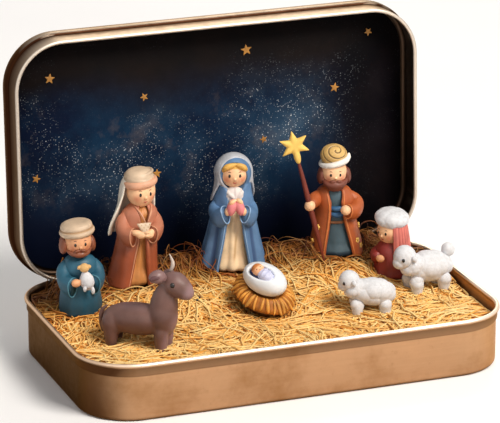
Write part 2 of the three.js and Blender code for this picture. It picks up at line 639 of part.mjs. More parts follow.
function makeShepherd() {
  const group = figureGroup(SHEPHERD_AT);
  const neck = neckOf(SHEPHERD_ROBE);
  const robe = spun(SHEPHERD_ROBE);
  const left = sleeve(SHEPHERD_LEFT, neck);
  const right = sleeve(SHEPHERD_RIGHT, neck);
  const head = ball(SHEPHERD_HEAD, neck);
  const hair = joined(ball(SHEPHERD_HAIR, neck), ball(SHEPHERD_BEARD, neck));
  const turban = joined(ball(SHEPHERD_ROLL, neck), ball(SHEPHERD_CROWN, neck));
  const lamb = joined(arm(LAMB, neck), ball(LAMB_HEAD, neck));
  const hand = ball(SHEPHERD_HAND, neck);
  addPiece(group, 'shepherd_robe', robe(), TEAL);
  addPiece(group, 'shepherd_head', carved(head, robe), SKIN);
  addPiece(group, 'shepherd_sleeve_left', carved(left, robe), TEAL);
  addPiece(group, 'shepherd_sleeve_right', carved(right, robe), TEAL);
  addPiece(group, 'shepherd_hair', carved(hair, robe, head, left, right), HAIR);
  addPiece(group, 'shepherd_turban', carved(turban, head, hair), CREAM);
  addPiece(group, 'shepherd_lamb', carved(lamb, robe, left, right, hair), WOOL);
  addPiece(group, 'shepherd_hand', carved(hand, robe, left, lamb), SKIN);
}

function makeFather() {
  const group = figureGroup(FATHER_AT);
  const lean = FATHER_LEAN;
  const neck = neckOf(FATHER_COAT, lean);
  const robe = spun(FATHER_ROBE, { lean });
  const coatOutside = spun(FATHER_COAT, { lean });
  const front = opening(FATHER_FRONT, widest(FATHER_COAT), lean);
  const coat = largest(coatOutside().subtract(robe(CLEARANCE)).subtract(front()));
  const left = sleeve(FATHER_LEFT, neck);
  const right = sleeve(FATHER_RIGHT, neck);
  const hands = ball(FATHER_HANDS, neck);
  const head = ball(FATHER_HEAD, neck);
  const { radius, thick, tilt } = FATHER_BAND;
  const bandRing = ring(from(neck, FATHER_BAND.at), radius, thick, tilt);
  const headband = without(bandRing, behind(neck[1] + FATHER_BAND_END));
  const veil = spun(FATHER_VEIL, { depth: FATHER_VEIL_DEPTH, lean: FATHER_VEIL_LEAN, at: neck });
  const cloth = joined(without(veil, ahead(neck[1] + FATHER_VEIL_FRONT)), ball(FATHER_CAP, neck));
  addPiece(group, 'father_robe', robe(), TAN);
  addPiece(group, 'father_coat', coat, TERRACOTTA);
  addPiece(group, 'father_head', carved(head, coatOutside, robe), SKIN);
  addPiece(group, 'father_sleeve_left', carved(left, coatOutside), TERRACOTTA);
  addPiece(group, 'father_sleeve_right', carved(right, coatOutside), TERRACOTTA);
  addPiece(group, 'father_hands', carved(hands, coatOutside, left, right), SKIN);
  addPiece(group, 'father_headband', carved(headband, head), CREAM);
  addPiece(group, 'father_headcloth', carved(cloth, coatOutside, head, headband, left, right), CREAM);
}

function makeMother() {
  const group = figureGroup(MOTHER_AT);
  const lean = MOTHER_LEAN;
  const neck = neckOf(MOTHER_GOWN, lean);
  const gown = spun(MOTHER_GOWN, { lean });
  const mantleOutside = spun(MOTHER_MANTLE, { lean });
  const head = ball(MOTHER_HEAD, neck);
  const front = opening(MOTHER_FRONT, widest(MOTHER_MANTLE), lean);
  const face = ball(MOTHER_FACE, neck);
  const mantle = [front(), face()].reduce((body, cut) => body.subtract(cut), mantleOutside());
  const left = sleeve(MOTHER_LEFT, neck);
  const right = sleeve(MOTHER_RIGHT, neck);
  const hands = joined(...MOTHER_HANDS.map((shape) => ball(shape, neck)));
  const veil = spun(MOTHER_VEIL, { depth: MOTHER_VEIL_DEPTH, at: neck });
  const veilBack = without(veil, ahead(MOTHER_VEIL_FRONT));
  addPiece(group, 'mother_gown', gown(), GOWN);
  addPiece(group, 'mother_head', carved(head, gown), SKIN);
  addPiece(group, 'mother_mantle', carved(() => mantle, gown, head), BLUE);
  addPiece(group, 'mother_sleeve_left', carved(left, mantleOutside, gown), BLUE);
  addPiece(group, 'mother_sleeve_right', carved(right, mantleOutside, gown), BLUE);
  addPiece(group, 'mother_hands', carved(hands, mantleOutside, gown, left, right), ROSE);
  addPiece(group, 'mother_veil', carved(veilBack, mantleOutside, left, right), VEIL);
}

function makeKing() {
  const group = figureGroup(KING_AT);
  const lean = KING_LEAN;
  const neck = neckOf(KING_COAT, lean);
  const tunic = spun(KING_TUNIC, { lean });
  const coatOutside = spun(KING_COAT, { lean });
  const front = opening(KING_FRONT, widest(KING_COAT), lean);
  const coat = largest(coatOutside().subtract(tunic(CLEARANCE)).subtract(front()));
  const left = arm(KING_LEFT, neck);
  const right = arm(KING_RIGHT, neck);
  const foot = new THREE.Vector3(...STAFF_FOOT);
  const star = new THREE.Vector3(...STAR_AT);
  const staff = staffShape(foot, star);
  const leftHand = oval(foot.clone().lerp(star, STAFF_GRIP).toArray(), KING_HAND_LEFT);
  const rightHand = ball(KING_HAND_RIGHT, neck);
  const head = ball(KING_HEAD, neck);
  const hair = joined(ball(KING_HAIR, neck), ball(KING_BEARD, neck));
  const band = ring(from(neck, KING_BAND.at), KING_BAND.radius, KING_BAND.thick, KING_BAND.tilt);
  const turban = ball(KING_TURBAN, neck);
  addPiece(group, 'king_tunic', tunic(), SLATE);
  addPiece(group, 'king_coat', coat, RUST);
  addPiece(group, 'king_head', carved(head, coatOutside, tunic), SKIN);
  addPiece(group, 'king_hair', carved(hair, coatOutside, tunic, head), HAIR);
  addPiece(group, 'king_sleeve_left', carved(left, coatOutside, hair), RUST);
  addPiece(group, 'king_sleeve_right', carved(right, coatOutside, hair), RUST);
  addPiece(group, 'king_staff', carved(staff, coatOutside), STAFF);
  addPiece(group, 'king_hand_left', carved(leftHand, left, staff, coatOutside), SKIN);
  addPiece(group, 'king_hand_right', carved(rightHand, right, coatOutside, tunic), SKIN);
  addPiece(group, 'king_turban_band', carved(band, head, hair), WOOL);
  addPiece(group, 'king_turban', carved(turban, head, hair, band), GOLD);
  addPiece(group, 'king_star', carved(starShape(star), staff), GOLD);
}

// A straight rod from the ground to the middle of the star.
const staffShape = (foot, top) => (grow = 0) => {
  const along = top.clone().sub(foot);
  const radius = STAFF_RADIUS + grow;
  const rod = new THREE.CylinderGeometry(radius, radius, along.length() + 2 * grow, ROUND_SIDES);
  const up = new THREE.Vector3(0, 1, 0);
  const turn = new THREE.Quaternion().setFromUnitVectors(up, along.clone().normalize());
  const middle = foot.clone().addScaledVector(along, 0.5);
  return solid(rod.applyQuaternion(turn).translate(middle.x, middle.y, middle.z));
};

// A flat star standing upright.
const starShape = ({ x, y, z }) => () => {
  const points = Array.from({ length: 2 * STAR_POINTS }, (_, i) => {
    const angle = (i * Math.PI) / STAR_POINTS + radians(STAR_TURN);
    const radius = i % 2 ? STAR_WAIST : STAR_RADIUS;
    return new THREE.Vector2(radius * Math.cos(angle), radius * Math.sin(angle));
  });
  const outline = new THREE.Shape(points);
  const plate = new THREE.ExtrudeGeometry(outline, { depth: STAR_THICKNESS, bevelEnabled: false });
  return solid(plate.translate(0, 0, -STAR_THICKNESS / 2).rotateX(Math.PI / 2).translate(x, y, z));
};

function makeChild() {
  const group = figureGroup(CHILD_AT);
  const neck = neckOf(CHILD_ROBE);
  const robe = spun(CHILD_ROBE, { depth: CHILD_DEPTH });
  const head = ball(CHILD_HEAD, neck);
  const cloth = without(spun(CHILD_CLOTH, { depth: CHILD_DEPTH, at: neck }), ahead(CHILD_CLOTH_FRONT));
  const hat = ball(CHILD_HAT, neck);
  const oneArm = arm(CHILD_ARM, neck);
  const hand = ball(CHILD_HAND, neck);
  addPiece(group, 'child_robe', robe(), CRIMSON);
  addPiece(group, 'child_head', carved(head, robe), SKIN);
  addPiece(group, 'child_headcloth', carved(cloth, robe, head, hat, oneArm), PINK);
  addPiece(group, 'child_hat', carved(hat, head), WOOL);
  addPiece(group, 'child_sleeve', carved(oneArm, robe), CRIMSON);
  addPiece(group, 'child_hand', carved(hand, robe, oneArm), SKIN);
}

// The four legs of an animal, standing at the corners of its stance.
function legs([x, y], top, thick, size = 1) {
  const corners = [[x, y], [x, -y], [-x, y], [-x, -y]];
  const heights = [top * size, (top * size - LEG_SUNK) / 2, -LEG_SUNK];
  return corners.map(([lx, ly]) => limb(
    heights.map((z) => [lx * size, ly * size, z]),
    thick.map((radius) => radius * size),
  ));
}

function makeOx() {
  const group = figureGroup(OX_AT);
  const ground = [0, 0, 0];
  const limbs = [OX_TRUNK, OX_NECK, OX_HEAD].map((shape) => arm(shape, ground));
  const whole = joined(...limbs, ...legs(OX_STANCE, OX_LEG_TOP, OX_LEG));
  addPiece(group, 'ox_body', largest(whole().subtract(underground())), OX);
  addPiece(group, 'ox_ear', carved(arm(OX_EAR, ground), whole), OX);
  addPiece(group, 'ox_horn', carved(arm(OX_HORN, ground), whole), HORN);
  addPiece(group, 'ox_tail', carved(arm(OX_TAIL, ground), whole), OX);
}

// A woolly sheep walking along +X, with its head forward.
function makeSheep(name, at, size, headAt, hasTail) {
  const group = figureGroup(at);
  const scaled = (point) => point.map((value) => value * size);
  const trunk = limb(SHEEP_TRUNK.line.map(scaled), scaled(SHEEP_TRUNK.thick));
  const whole = joined(trunk, ...legs(SHEEP_STANCE, SHEEP_LEG_TOP, SHEEP_LEG, size));
  const head = oval(scaled(headAt), scaled(SHEEP_HEAD), SHEEP_HEAD_TILT);
  addPiece(group, `${name}_body`, largest(whole().subtract(underground())), WOOL);
  addPiece(group, `${name}_head`, carved(head, whole), WOOL);
  if (hasTail) {
    const tail = oval(scaled(SHEEP_TAIL.at), scaled(SHEEP_TAIL.size));
    addPiece(group, `${name}_tail`, carved(tail, whole), WOOL);
  }
}

function makeManger() {
  const group = figureGroup(MANGER_AT);
  const cradle = new THREE.Group();
  const pitch = radians(BASKET_PITCH);
  const roll = radians(BASKET_ROLL);
  cradle.rotation.set(roll, pitch, 0);
  cradle.position.z = BASKET_FOOT * Math.hypot(Math.sin(pitch), BASKET_NARROW * Math.sin(roll));
  group.add(cradle);
  const ribbed = { depth: BASKET_NARROW, ribs: BASKET_RIBS, rib: RIB_DEPTH };
  const outline = [[BASKET_FOOT, 0], [BASKET_EDGE, BASKET_EDGE_HEIGHT], [BASKET_TOP, BASKET_HEIGHT]];
  const bowl = spun(outline, ribbed);
  const inside = BASKET_TOP - BASKET_WALL;
  const above = BASKET_HEIGHT + BASKET_FLOOR;
  const hollow = spun([[inside, BASKET_FLOOR], [inside, BASKET_HEIGHT], [inside, above]], ribbed);
  const basket = without(bowl, hollow);
  const rim = [0, 0, BASKET_HEIGHT];
  const cushion = ball(CUSHION, rim);
  const baby = ball(BABY, rim);
  const babyHead = ball(BABY_HEAD, rim);
  addPiece(cradle, 'manger_basket', largest(basket()), BASKET);
  addPiece(cradle, 'manger_cushion', carved(cushion, basket, baby, babyHead), WOOL);
  addPiece(cradle, 'baby_head', babyHead(), SKIN);
  addPiece(cradle, 'baby_swaddle', carved(baby, babyHead), SWADDLE);
}

makeTin();
makeShepherd();
makeFather();
makeMother();
makeKing();
makeChild();
makeOx();
makeSheep('small_sheep', SMALL_SHEEP_AT, 1, SMALL_SHEEP_HEAD_AT, false);
makeSheep('large_sheep', LARGE_SHEEP_AT, LARGE_SHEEP, LARGE_SHEEP_HEAD_AT, true);
makeManger();

export default part;
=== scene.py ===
"""A hinged tin standing open: its tray holds straw and small modelled clay figures, its lid a night sky.

Shapes are worked out in millimetres, each figure about its own foot with its front towards -Y. They are
put into the part's frame, in metres, when their meshes are made.
"""

import math

import bmesh
import bpy
import numpy as np
from mathutils import Matrix, Vector


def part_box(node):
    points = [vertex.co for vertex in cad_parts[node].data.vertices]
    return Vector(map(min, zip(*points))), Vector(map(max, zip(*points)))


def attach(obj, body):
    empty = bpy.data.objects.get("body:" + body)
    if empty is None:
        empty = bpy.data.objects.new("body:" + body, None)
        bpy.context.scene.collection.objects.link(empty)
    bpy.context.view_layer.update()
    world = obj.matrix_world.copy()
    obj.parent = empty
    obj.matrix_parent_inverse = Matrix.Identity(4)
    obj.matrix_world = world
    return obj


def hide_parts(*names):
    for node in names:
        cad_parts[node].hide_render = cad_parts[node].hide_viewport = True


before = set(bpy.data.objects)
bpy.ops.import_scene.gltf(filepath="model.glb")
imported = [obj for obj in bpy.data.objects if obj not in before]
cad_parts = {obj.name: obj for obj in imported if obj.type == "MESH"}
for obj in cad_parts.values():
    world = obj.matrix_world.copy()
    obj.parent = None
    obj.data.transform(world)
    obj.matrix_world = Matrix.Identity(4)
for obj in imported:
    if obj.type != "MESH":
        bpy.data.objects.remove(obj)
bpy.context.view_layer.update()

MM = 0.001
TAU = 2 * math.pi
WELD = 2e-7
POLE_GAP = 0.02
LIMB_END = 0.03
SIDES = (-1, 1)
SEED = 20

# Tray: heights from its foot, and WALL and BAND as distances outside the crest of its curled rim
RIM_HALF = (75.0, 44.0)
RIM_CORNER = 18.6
RIM_HEIGHT = 19.6
CURL = 0.8
SHEET = 0.5
WALL = -0.35
BAND = WALL + 0.45
BAND_LOW = 16.2
BAND_HIGH = 18.8
BOTTOM_EDGE = 1.5
NOTCH_ROOM = 1.1
KNUCKLES = (-30.0, 30.0)
KNUCKLE_HALF = 6.7
NOTCH_HALF = 7.0
CORNER_STEPS = 20
CURL_STEPS = 14

# Lid, drawn closed: heights from the hinge line, and distances outside the rim's crest
LID_LEAN = 2.5
LID_WALL = -0.2
LID_TOP = 6.2
LID_EDGE = 1.8
SHOULDER = 1.1
PLUG = -1.1
PLUG_IN = PLUG - SHEET
PLUG_DEPTH = 6.3
LID_CURL = 0.7
CARD_TOP = 5.4
CARD = 0.8
CARD_EDGE = -2.8
STAR_SUNK = 0.02

# Printed stars: across, up from the hinge, size and turn
STARS = (
    (-58, 71, 2.1, 10),
    (-24, 61, 1.7, 40),
    (-64, 36, 1.8, 70),
    (14, 74, 2.3, 25),
    (47, 57, 2.0, 5),
    (60, 76, 1.7, 50),
    (-20, 33, 1.9, 15),
    (20, 41, 1.6, 33),
)

# Straw bed: pairs are where a slope starts and ends
STRAW_FRONT = 15.0
STRAW_RISE = 9.4
RISE_REACH = (-14, 30)
ENDS_REACH = (38, 66)
ENDS_DROP = 0.6
STRAW_UNDER_LID = 18.0
PLUG_REACH = (33.2, 36.2)
RIDGE = 27.0
RIDGE_MIDDLE = -3
RIDGE_FRONT = (22, 29)
RIDGE_BACK = (32.4, 34.4)
RIDGE_ENDS = (55, 64)
FLOOR_SUNK = 1.5
FIBRE_INSET = 1.8
FIBRE_MIDDLE_INSET = 3.4
LID_FRONT = 34.3
FIBRE_TOP = 32.5
FIBRE_TOP_UNDER_LID = 18.1
STRANDS = 2700
REAR_STRANDS = 1100
LOOPS = 130
FOOT_STRANDS = 260

# Where each figure stands and the way it is turned
STANDS = {
    "shepherd": (-59.5, 16.5, -4),
    "father": (-38.0, 25.0, 2),
    "mother": (-0.5, 27.2, -16),
    "king": (39.0, 28.0, -14),
    "child": (53.3, 12.4, -65),
    "ox": (-49.0, -14.0, -38),
    "small_sheep": (35.5, -12.0, 163),
    "large_sheep": (61.6, 0.2, 187),
    "manger": (0.4, 0.0, -55),
}
FOOTPRINTS = {"shepherd": 6.6, "father": 9.0, "mother": 11.2, "king": 9.2, "child": 5.4, "manger": 8.3}
FIGURE_DEPTH = 0.85
CUFF_CORD = 0.2

# Manger
MANGER_PITCH = 19
MANGER_ROLL = 12
BASKET_FOOT = 8
BASKET_DEPTH = 0.8
NEST_DEPTH = 0.8
RIBS = 32
CUSHION_MIDDLE = np.array([-0.6, -0.4, 10.0])
CUSHION_SIZE = np.array([8.2, 5.9, 4.9])
CUSHION_THICK = 1.4
HOLLOW_FACING = np.array([-0.15, -0.40, 0.90])

# Faces: places as shares of the head's half width and half height
EYE = (0.36, 0.04)
BROW = (0.36, 0.27)
CHEEK = (0.56, -0.26)
NOSE_LEVEL = -0.18
MOUTH_LEVEL = -0.43
MOUTH_HALF = 0.14
CHIN_TAPER = 0.06

# Camera, as the photograph was taken: the lens is long and the tin is seen from the front and left
VIEW_AZIMUTH = -20.61
VIEW_ELEVATION = 18.69
VIEW_DISTANCE = 1217.6
VIEW_TARGET = (-4.10, 0.0, 52.33)
LENS = 259.2
SENSOR = 36.0
FLOOR_REACH = 3.0
LAMP_TARGET = (0, 0, 0.04)


# Colours and finishes


def tint(code, gain=1.0):
    """A six-figure screen colour as linear red, green, blue and alpha."""
    screen = np.array([int(code[i : i + 2], 16) for i in (0, 2, 4)]) / 255
    linear = np.where(screen <= 0.04045, screen / 12.92, ((screen + 0.055) / 1.055) ** 2.4)
    return (*np.clip(linear * gain, 0, 1).tolist(), 1.0)


class Finish:
    """A material under construction: nodes are added by kind and their sockets fed."""

    def __init__(self, name):
        self.material = bpy.data.materials.new(name)
        self.material.use_nodes = True
        self.nodes = self.material.node_tree.nodes
        self.shader = self.nodes["Principled BSDF"]
        self.object_place = self.add("ShaderNodeTexCoord").outputs["Object"]

    def add(self, kind, settings=None, **sockets):
        """A new node; a socket is named with an underscore for each space."""
        node = self.nodes.new(kind)
        for key, value in (settings or {}).items():
            setattr(node, key, value)
        for key, value in sockets.items():
            self.feed(node.inputs[key.replace("_", " ")], value)
        return node

    def feed(self, socket, value):
        """Links a socket to another node's output, or gives it a constant."""
        if isinstance(value, bpy.types.NodeSocket):
            self.material.node_tree.links.new(value, socket)
        else:
            socket.default_value = value

    def set(self, **sockets):
        """Feeds the shader's own sockets."""
        for key, value in sockets.items():
            self.feed(self.shader.inputs[key.replace("_", " ")], value)

    def stretched(self, scale):
        """Object places scaled along each axis, for a grain that runs one way."""
        return self.add("ShaderNodeMapping", Vector=self.object_place, Scale=scale).outputs["Vector"]

    def noise(self, scale, detail=3.0, place=None, roughness=0.5):
        """Cloudy noise in the object's own place."""
        sockets = {"Scale": scale, "Detail": detail, "Roughness": roughness}
        return self.add("ShaderNodeTexNoise", Vector=place or self.object_place, **sockets).outputs["Fac"]

    def ramp(self, value, stops):
        """A value read off a row of stops, each a position with a colour or a share."""
        node = self.add("ShaderNodeValToRGB", Fac=value)
        stop_list = node.color_ramp.elements
        while len(stop_list) < len(stops):
            stop_list.new(0.5)
        for element, (position, colour) in zip(stop_list, stops):
            element.position = position
            element.color = colour if isinstance(colour, tuple) else (colour, colour, colour, 1)
        return node.outputs["Color"]

    def mix(self, share, first, second, blend="MIX"):
        """The first colour going over to the second by a share."""
        node = self.add("ShaderNodeMix", {"data_type": "RGBA", "blend_type": blend})
        for index, value in ((0, share), (6, first), (7, second)):
            self.feed(node.inputs[index], value)
        return node.outputs[2]

    def times(self, first, second):
        """Two colours or shares multiplied."""
        return self.mix(1.0, first, second, "MULTIPLY")

    def plus(self, value, share, base):
        """A base plus a share of a value."""
        node = self.add("ShaderNodeMath", {"operation": "MULTIPLY_ADD"})
        for socket, term in zip(node.inputs, (value, share, base)):
            self.feed(socket, term)
        return node.outputs[0]

    def step(self, value, low, high, start=0.0, end=1.0):
        """A smooth step from start to end as the value goes from low to high."""
        sockets = {"From_Min": low, "From_Max": high, "To_Min": start, "To_Max": end}
        smooth = {"interpolation_type": "SMOOTHSTEP"}
        return self.add("ShaderNodeMapRange", smooth, Value=value, **sockets).outputs[0]

    def attribute(self, name):
        """A number stored with the mesh's points, 0 where there is none."""
        return self.add("ShaderNodeAttribute", {"attribute_name": name}).outputs["Fac"]

    def bump(self, height, strength, distance, below=None):
        """Relief of a height pattern over a distance in millimetres, on top of another."""
        node = self.add("ShaderNodeBump", Height=height, Strength=strength, Distance=distance * MM)
        if below is not None:
            self.feed(node.inputs["Normal"], below)
        return node.outputs["Normal"]


def clay(name, colour, accent=None, roughness=0.46, grain=0.25, variety=0.16):
    """Modelling clay: mottled colour, a fine pressed stipple and broad finger dents.

    The accent colour shows where the mesh's accent attribute says so.
    """
    finish = Finish(name)
    mottle = finish.noise(230, 4)
    tone = finish.ramp(mottle, [(0.3, tint(colour, 1 - variety)), (0.7, tint(colour, 1 + variety))])
    if accent:
        tone = finish.mix(finish.attribute("accent"), tone, tint(accent))
    sheen = finish.ramp(finish.noise(420, 3), [(0.3, roughness - 0.08), (0.75, roughness + 0.12)])
    dents = finish.bump(finish.noise(170, 2), 0.35, 0.5)
    stipple = finish.bump(finish.noise(2300, 3), grain, 0.12, dents)
    finish.set(Base_Color=tone, Roughness=sheen, Normal=stipple, Specular_IOR_Level=0.42)
    return finish.material


def wool(name, colour, shade, accent):
    """White clay pressed all over with a fine stipple, a little darker in its hollows as painted shade.
    """
    finish = Finish(name)
    fluff = finish.noise(900, 5, roughness=0.65)
    # Painted shade: the shade colour in the stipple's hollows
    tone = finish.ramp(fluff, [(0.3, tint(shade)), (0.62, tint(colour))])
    tone = finish.mix(finish.attribute("accent"), tone, tint(accent))
    curls = finish.bump(fluff, 0.24, 0.3)
    stipple = finish.bump(finish.noise(3600, 3), 0.2, 0.1, curls)
    finish.set(Base_Color=tone, Roughness=0.78, Normal=stipple, Specular_IOR_Level=0.25)
    return finish.material


def lacquered_tin(name, light, dark, edge, painted_highlight, grazing):
    """Gold-lacquered tinplate: cloudy toning, faint rolling marks and scuffs.

    By the accent attribute it is browner: painted shade inside, under its beads, in its grooves and on
    its left, and browner along the tray's bottom edge. By the bright attribute it has painted highlights
    on its beads and edges.
    """
    finish = Finish(name)
    cloud = finish.noise(34, 6, roughness=0.62)
    rolled = finish.noise(1, 3, finish.stretched((40, 40, 900)))
    scuffs = finish.noise(330, 6, roughness=0.75)
    tone = finish.ramp(cloud, [(0.33, tint(dark)), (0.52, tint(light, 0.92)), (0.7, tint(light))])
    tone = finish.mix(0.12, tone, finish.ramp(rolled, [(0.3, tint(dark)), (0.7, tint(light))]))
    tone = finish.mix(finish.ramp(scuffs, [(0.6, 0.0), (0.8, 0.35)]), tone, tint(dark, 0.8))
    # Painted shade, and the browner bottom edge, in the edge colour, by the accent attribute
    tone = finish.mix(finish.attribute("accent"), tone, tint(edge))
    # Painted highlights in their own colour, by the bright attribute
    tone = finish.mix(finish.attribute("bright"), tone, tint(painted_highlight))
    gloss = finish.ramp(scuffs, [(0.3, 0.3), (0.7, 0.48)])
    normal = finish.bump(rolled, 0.05, 0.1, finish.bump(finish.noise(45, 2), 0.22, 0.8))
    finish.set(Base_Color=tone, Metallic=0.9, Roughness=gloss, Normal=normal, Specular_Tint=(*grazing, 1))
    return finish.material


def drawn_wire(name):
    """Dull steel wire with fine lengthwise drawing marks."""
    finish = Finish(name)
    marks = finish.noise(1, 3, finish.stretched((60, 2600, 2600)))
    tone = finish.ramp(marks, [(0.3, tint("77706a")), (0.7, tint("aaa296"))])
    finish.set(Base_Color=tone, Metallic=1.0, Roughness=finish.ramp(marks, [(0.2, 0.3), (0.8, 0.5)]))
    return finish.material


def night_card(name):
    """Printed card: brown-black, with a hazy blue band across its middle that fades to the right.

    The band follows a level that slopes and wavers. In it lie dust, clusters of fine specks of three
    sizes, and a glow about the clusters.
    """
    finish = Finish(name)
    place = finish.add("ShaderNodeSeparateXYZ", Vector=finish.object_place)
    across, high = place.outputs["X"], place.outputs["Z"]
    cloud = finish.noise(26, 7, roughness=0.68)
    level = finish.plus(across, -0.06, finish.plus(finish.noise(13, 3), 0.05, high))
    leftward = finish.step(across, 0.026, 0.058, 1.0, 0.06)
    middle = finish.times(finish.step(level, 0.060, 0.088), finish.step(level, 0.091, 0.112, 1.0, 0.0))
    band = finish.times(middle, leftward)
    haze = finish.times(band, finish.ramp(cloud, [(0.4, 0.0), (0.66, 1.0)]))
    foot = finish.times(finish.step(level, 0.07, 0.09, 0.8, 0.0), leftward)
    tone = finish.ramp(cloud, [(0.35, tint("070506")), (0.7, tint("170e0b"))])
    tone = finish.mix(foot, tone, tint("0a142b"))
    tone = finish.mix(band, tone, tint("08132a"))
    tone = finish.mix(haze, tone, tint("12304a"))
    dust = finish.ramp(finish.noise(55, 6, roughness=0.7), [(0.54, 0.0), (0.78, 0.5)])
    tone = finish.mix(finish.times(band, dust), tone, tint("6f635e"))
    clusters = finish.ramp(finish.noise(42, 4, roughness=0.6), [(0.46, 0.02), (0.66, 1.0)])
    strewn = finish.times(finish.ramp(band, [(0.0, 0.05), (0.55, 0.95)]), clusters)
    glow = finish.times(strewn, finish.ramp(cloud, [(0.45, 0.0), (0.7, 0.28)]))
    tone = finish.mix(glow, tone, tint("5b7488"))
    for scale, reach, share in ((1700, 0.3, 0.55), (1050, 0.24, 0.62), (560, 0.16, 0.74)):
        cells = finish.add("ShaderNodeTexVoronoi", Vector=finish.object_place, Scale=scale)
        speck = finish.ramp(cells.outputs["Distance"], [(reach * 0.4, 1.0), (reach, 0.0)])
        chosen = finish.add("ShaderNodeSeparateColor", Color=cells.outputs["Color"]).outputs["Red"]
        lit = finish.times(speck, finish.ramp(chosen, [(share, 0.0), (share + 0.25, 1.0)]))
        tone = finish.mix(finish.times(lit, strewn), tone, tint("dfe6ee"))
    paper = finish.bump(finish.noise(1900, 3), 0.1, 0.1)
    finish.set(Base_Color=tone, Roughness=0.62, Specular_IOR_Level=0.06, Normal=paper)
    return finish.material


def rear_shade(finish, tone):
    """Painted shade on the straw: its tone browner towards the back of the tray."""
    place = finish.add("ShaderNodeSeparateXYZ", Vector=finish.object_place)
    back = finish.step(place.outputs["Y"], 0.008, 0.03)
    return finish.mix(back, tone, finish.times(tone, tint("867365")))


def straw_fibre(name):
    """Dry straw: each fibre has its own tone, from brown through gold to pale, with fine streaks, and
    painted shade.
    """
    finish = Finish(name)
    stops = [(0.0, tint("522409")), (0.25, tint("b8651d")), (0.6, tint("f7b252")), (1.0, tint("ffdc95"))]
    streak = finish.ramp(finish.noise(1500, 2), [(0.3, 0.86), (0.7, 1.0)])
    tone = finish.times(finish.ramp(finish.attribute("tone"), stops), streak)
    finish.set(Base_Color=rear_shade(finish, tone), Roughness=0.55, Specular_IOR_Level=0.3)
    return finish.material


def straw_shade(name):
    """The packed straw seen between the upper fibres, dark brown as painted shade."""
    finish = Finish(name)
    fibres = finish.noise(1, 4, finish.stretched((420, 900, 600)))
    tone = finish.ramp(fibres, [(0.35, tint("70360f")), (0.65, tint("c77c2c"))])
    finish.set(Base_Color=rear_shade(finish, tone), Roughness=0.9, Normal=finish.bump(fibres, 0.8, 0.6))
    return finish.material


def bead(name, colour):
    """Small glossy eye: near black with a slight unevenness."""
    finish = Finish(name)
    tone = finish.ramp(finish.noise(1500, 2), [(0.3, tint(colour)), (0.7, tint(colour, 1.6))])
    finish.set(Base_Color=tone, Roughness=0.22)
    return finish.material


FINISHES = {
    "skin": clay("skin_clay", "f0bf94", "de8466"),
    "face_tan": clay("tan_skin_clay", "dfa377", "c9734f"),
    "bald": clay("baby_skin_clay", "efb58c", "c47a3c"),
    "hair": clay("brown_hair_clay", "7d452c"),
    "dark_hair": clay("dark_hair_clay", "6d3a2b"),
    "blond": clay("blond_hair_clay", "dba954"),
    "cream": clay("cream_clay", "c9b197", "a0784d"),
    # A lighter copy of the cream: painted light on the cloth that hangs in shade
    "painted_light_cream": clay("lit_cream_clay", "fbeee0"),
    "peach": clay("peach_clay", "d9a384"),
    "teal": clay("teal_clay", "22566c", "12303d"),
    # Paler copy of the teal: painted highlight on cuff edges
    "teal_edge": clay("teal_highlight_clay", "4a8194"),
    "terracotta": clay("terracotta_clay", "984c2d", "b8775c"),
    # Paler copy of the terracotta: painted highlight on edges and cuffs
    "terracotta_edge": clay("terracotta_highlight_clay", "cb9272"),
    "tan": clay("tan_clay", "bd7e45"),
    "gown": clay("gown_clay", "efd2ab", "b08654"),
    "blue": clay("blue_clay", "56789f", "2f4870"),
    # Paler copy of the blue: painted highlight on edges and cuffs
    "blue_edge": clay("blue_highlight_clay", "88a8ca"),
    "veil": clay("grey_veil_clay", "b2b5bc"),
    "white": clay("white_clay", "e9e5df"),
    "scarf": clay("pale_scarf_clay", "d8d0cc", "b3a6a3"),
    "rose": clay("rose_clay", "dd8488"),
    "rust": clay("rust_clay", "a9562b"),
    # Paler copy of the rust: painted highlight on the coat's edges and cuff
    "rust_edge": clay("rust_highlight_clay", "c9753f"),
    "slate": clay("slate_clay", "3d525c", "22303c"),
    "sash": clay("sash_clay", "315a80"),
    "belt": clay("belt_clay", "8a5a38"),
    "gold": clay("yellow_clay", "eac264"),
    "turban": clay("beige_turban_clay", "cda766", "3a2610"),
    "staff": clay("dark_red_clay", "6e2b1c"),
    "crimson": clay("crimson_clay", "7e2a24"),
    "pink": clay("pink_clay", "cf7468", "9a4440"),
    "wool": wool("woolly_white_clay", "dadce1", "c8c9cd", "d8a860"),
    "ox": clay("ox_clay", "684a43", "8d7072"),
    "ox_hollow": clay("ox_ear_clay", "59393a"),
    "horn": clay("horn_clay", "b4a69b"),
    "basket": clay("basket_clay", "a8661f", "42200a", roughness=0.58),
    "rib": clay("pale_rib_clay", "d69742", "8e531b", roughness=0.55, variety=0.3),
    "cushion": clay("cushion_white_clay", "dfe4ea", grain=0.15, variety=0.04),
    "swaddle": clay("lavender_clay", "c3c6e2"),
    # Deep blue that stands for the shade in the manger's hollow
    "shadow": clay("hollow_shade_clay", "242f5c"),
    "eye": bead("eye_bead", "120c0a"),
    "lip": clay("lip_clay", "a8483a"),
    # Tin: light, dark, painted shade colour, painted highlight colour, grazing tint
    "tray_tin": lacquered_tin("tray_tin", "cda179", "a3764c", "472b17", "f1e4d2", (0.78, 0.58, 0.4)),
    "lid_tin": lacquered_tin("lid_tin", "b3a594", "918069", "2b1407", "dccfc0", (0.74, 0.56, 0.42)),
    "wire": drawn_wire("drawn_wire"),
    "night": night_card("night_card"),
    "fibre": straw_fibre("straw_fibre"),
    "packed": straw_shade("straw_shade"),
    "foil": clay("gold_print", "a8742f", roughness=0.55, variety=0.4),
}


# Measures


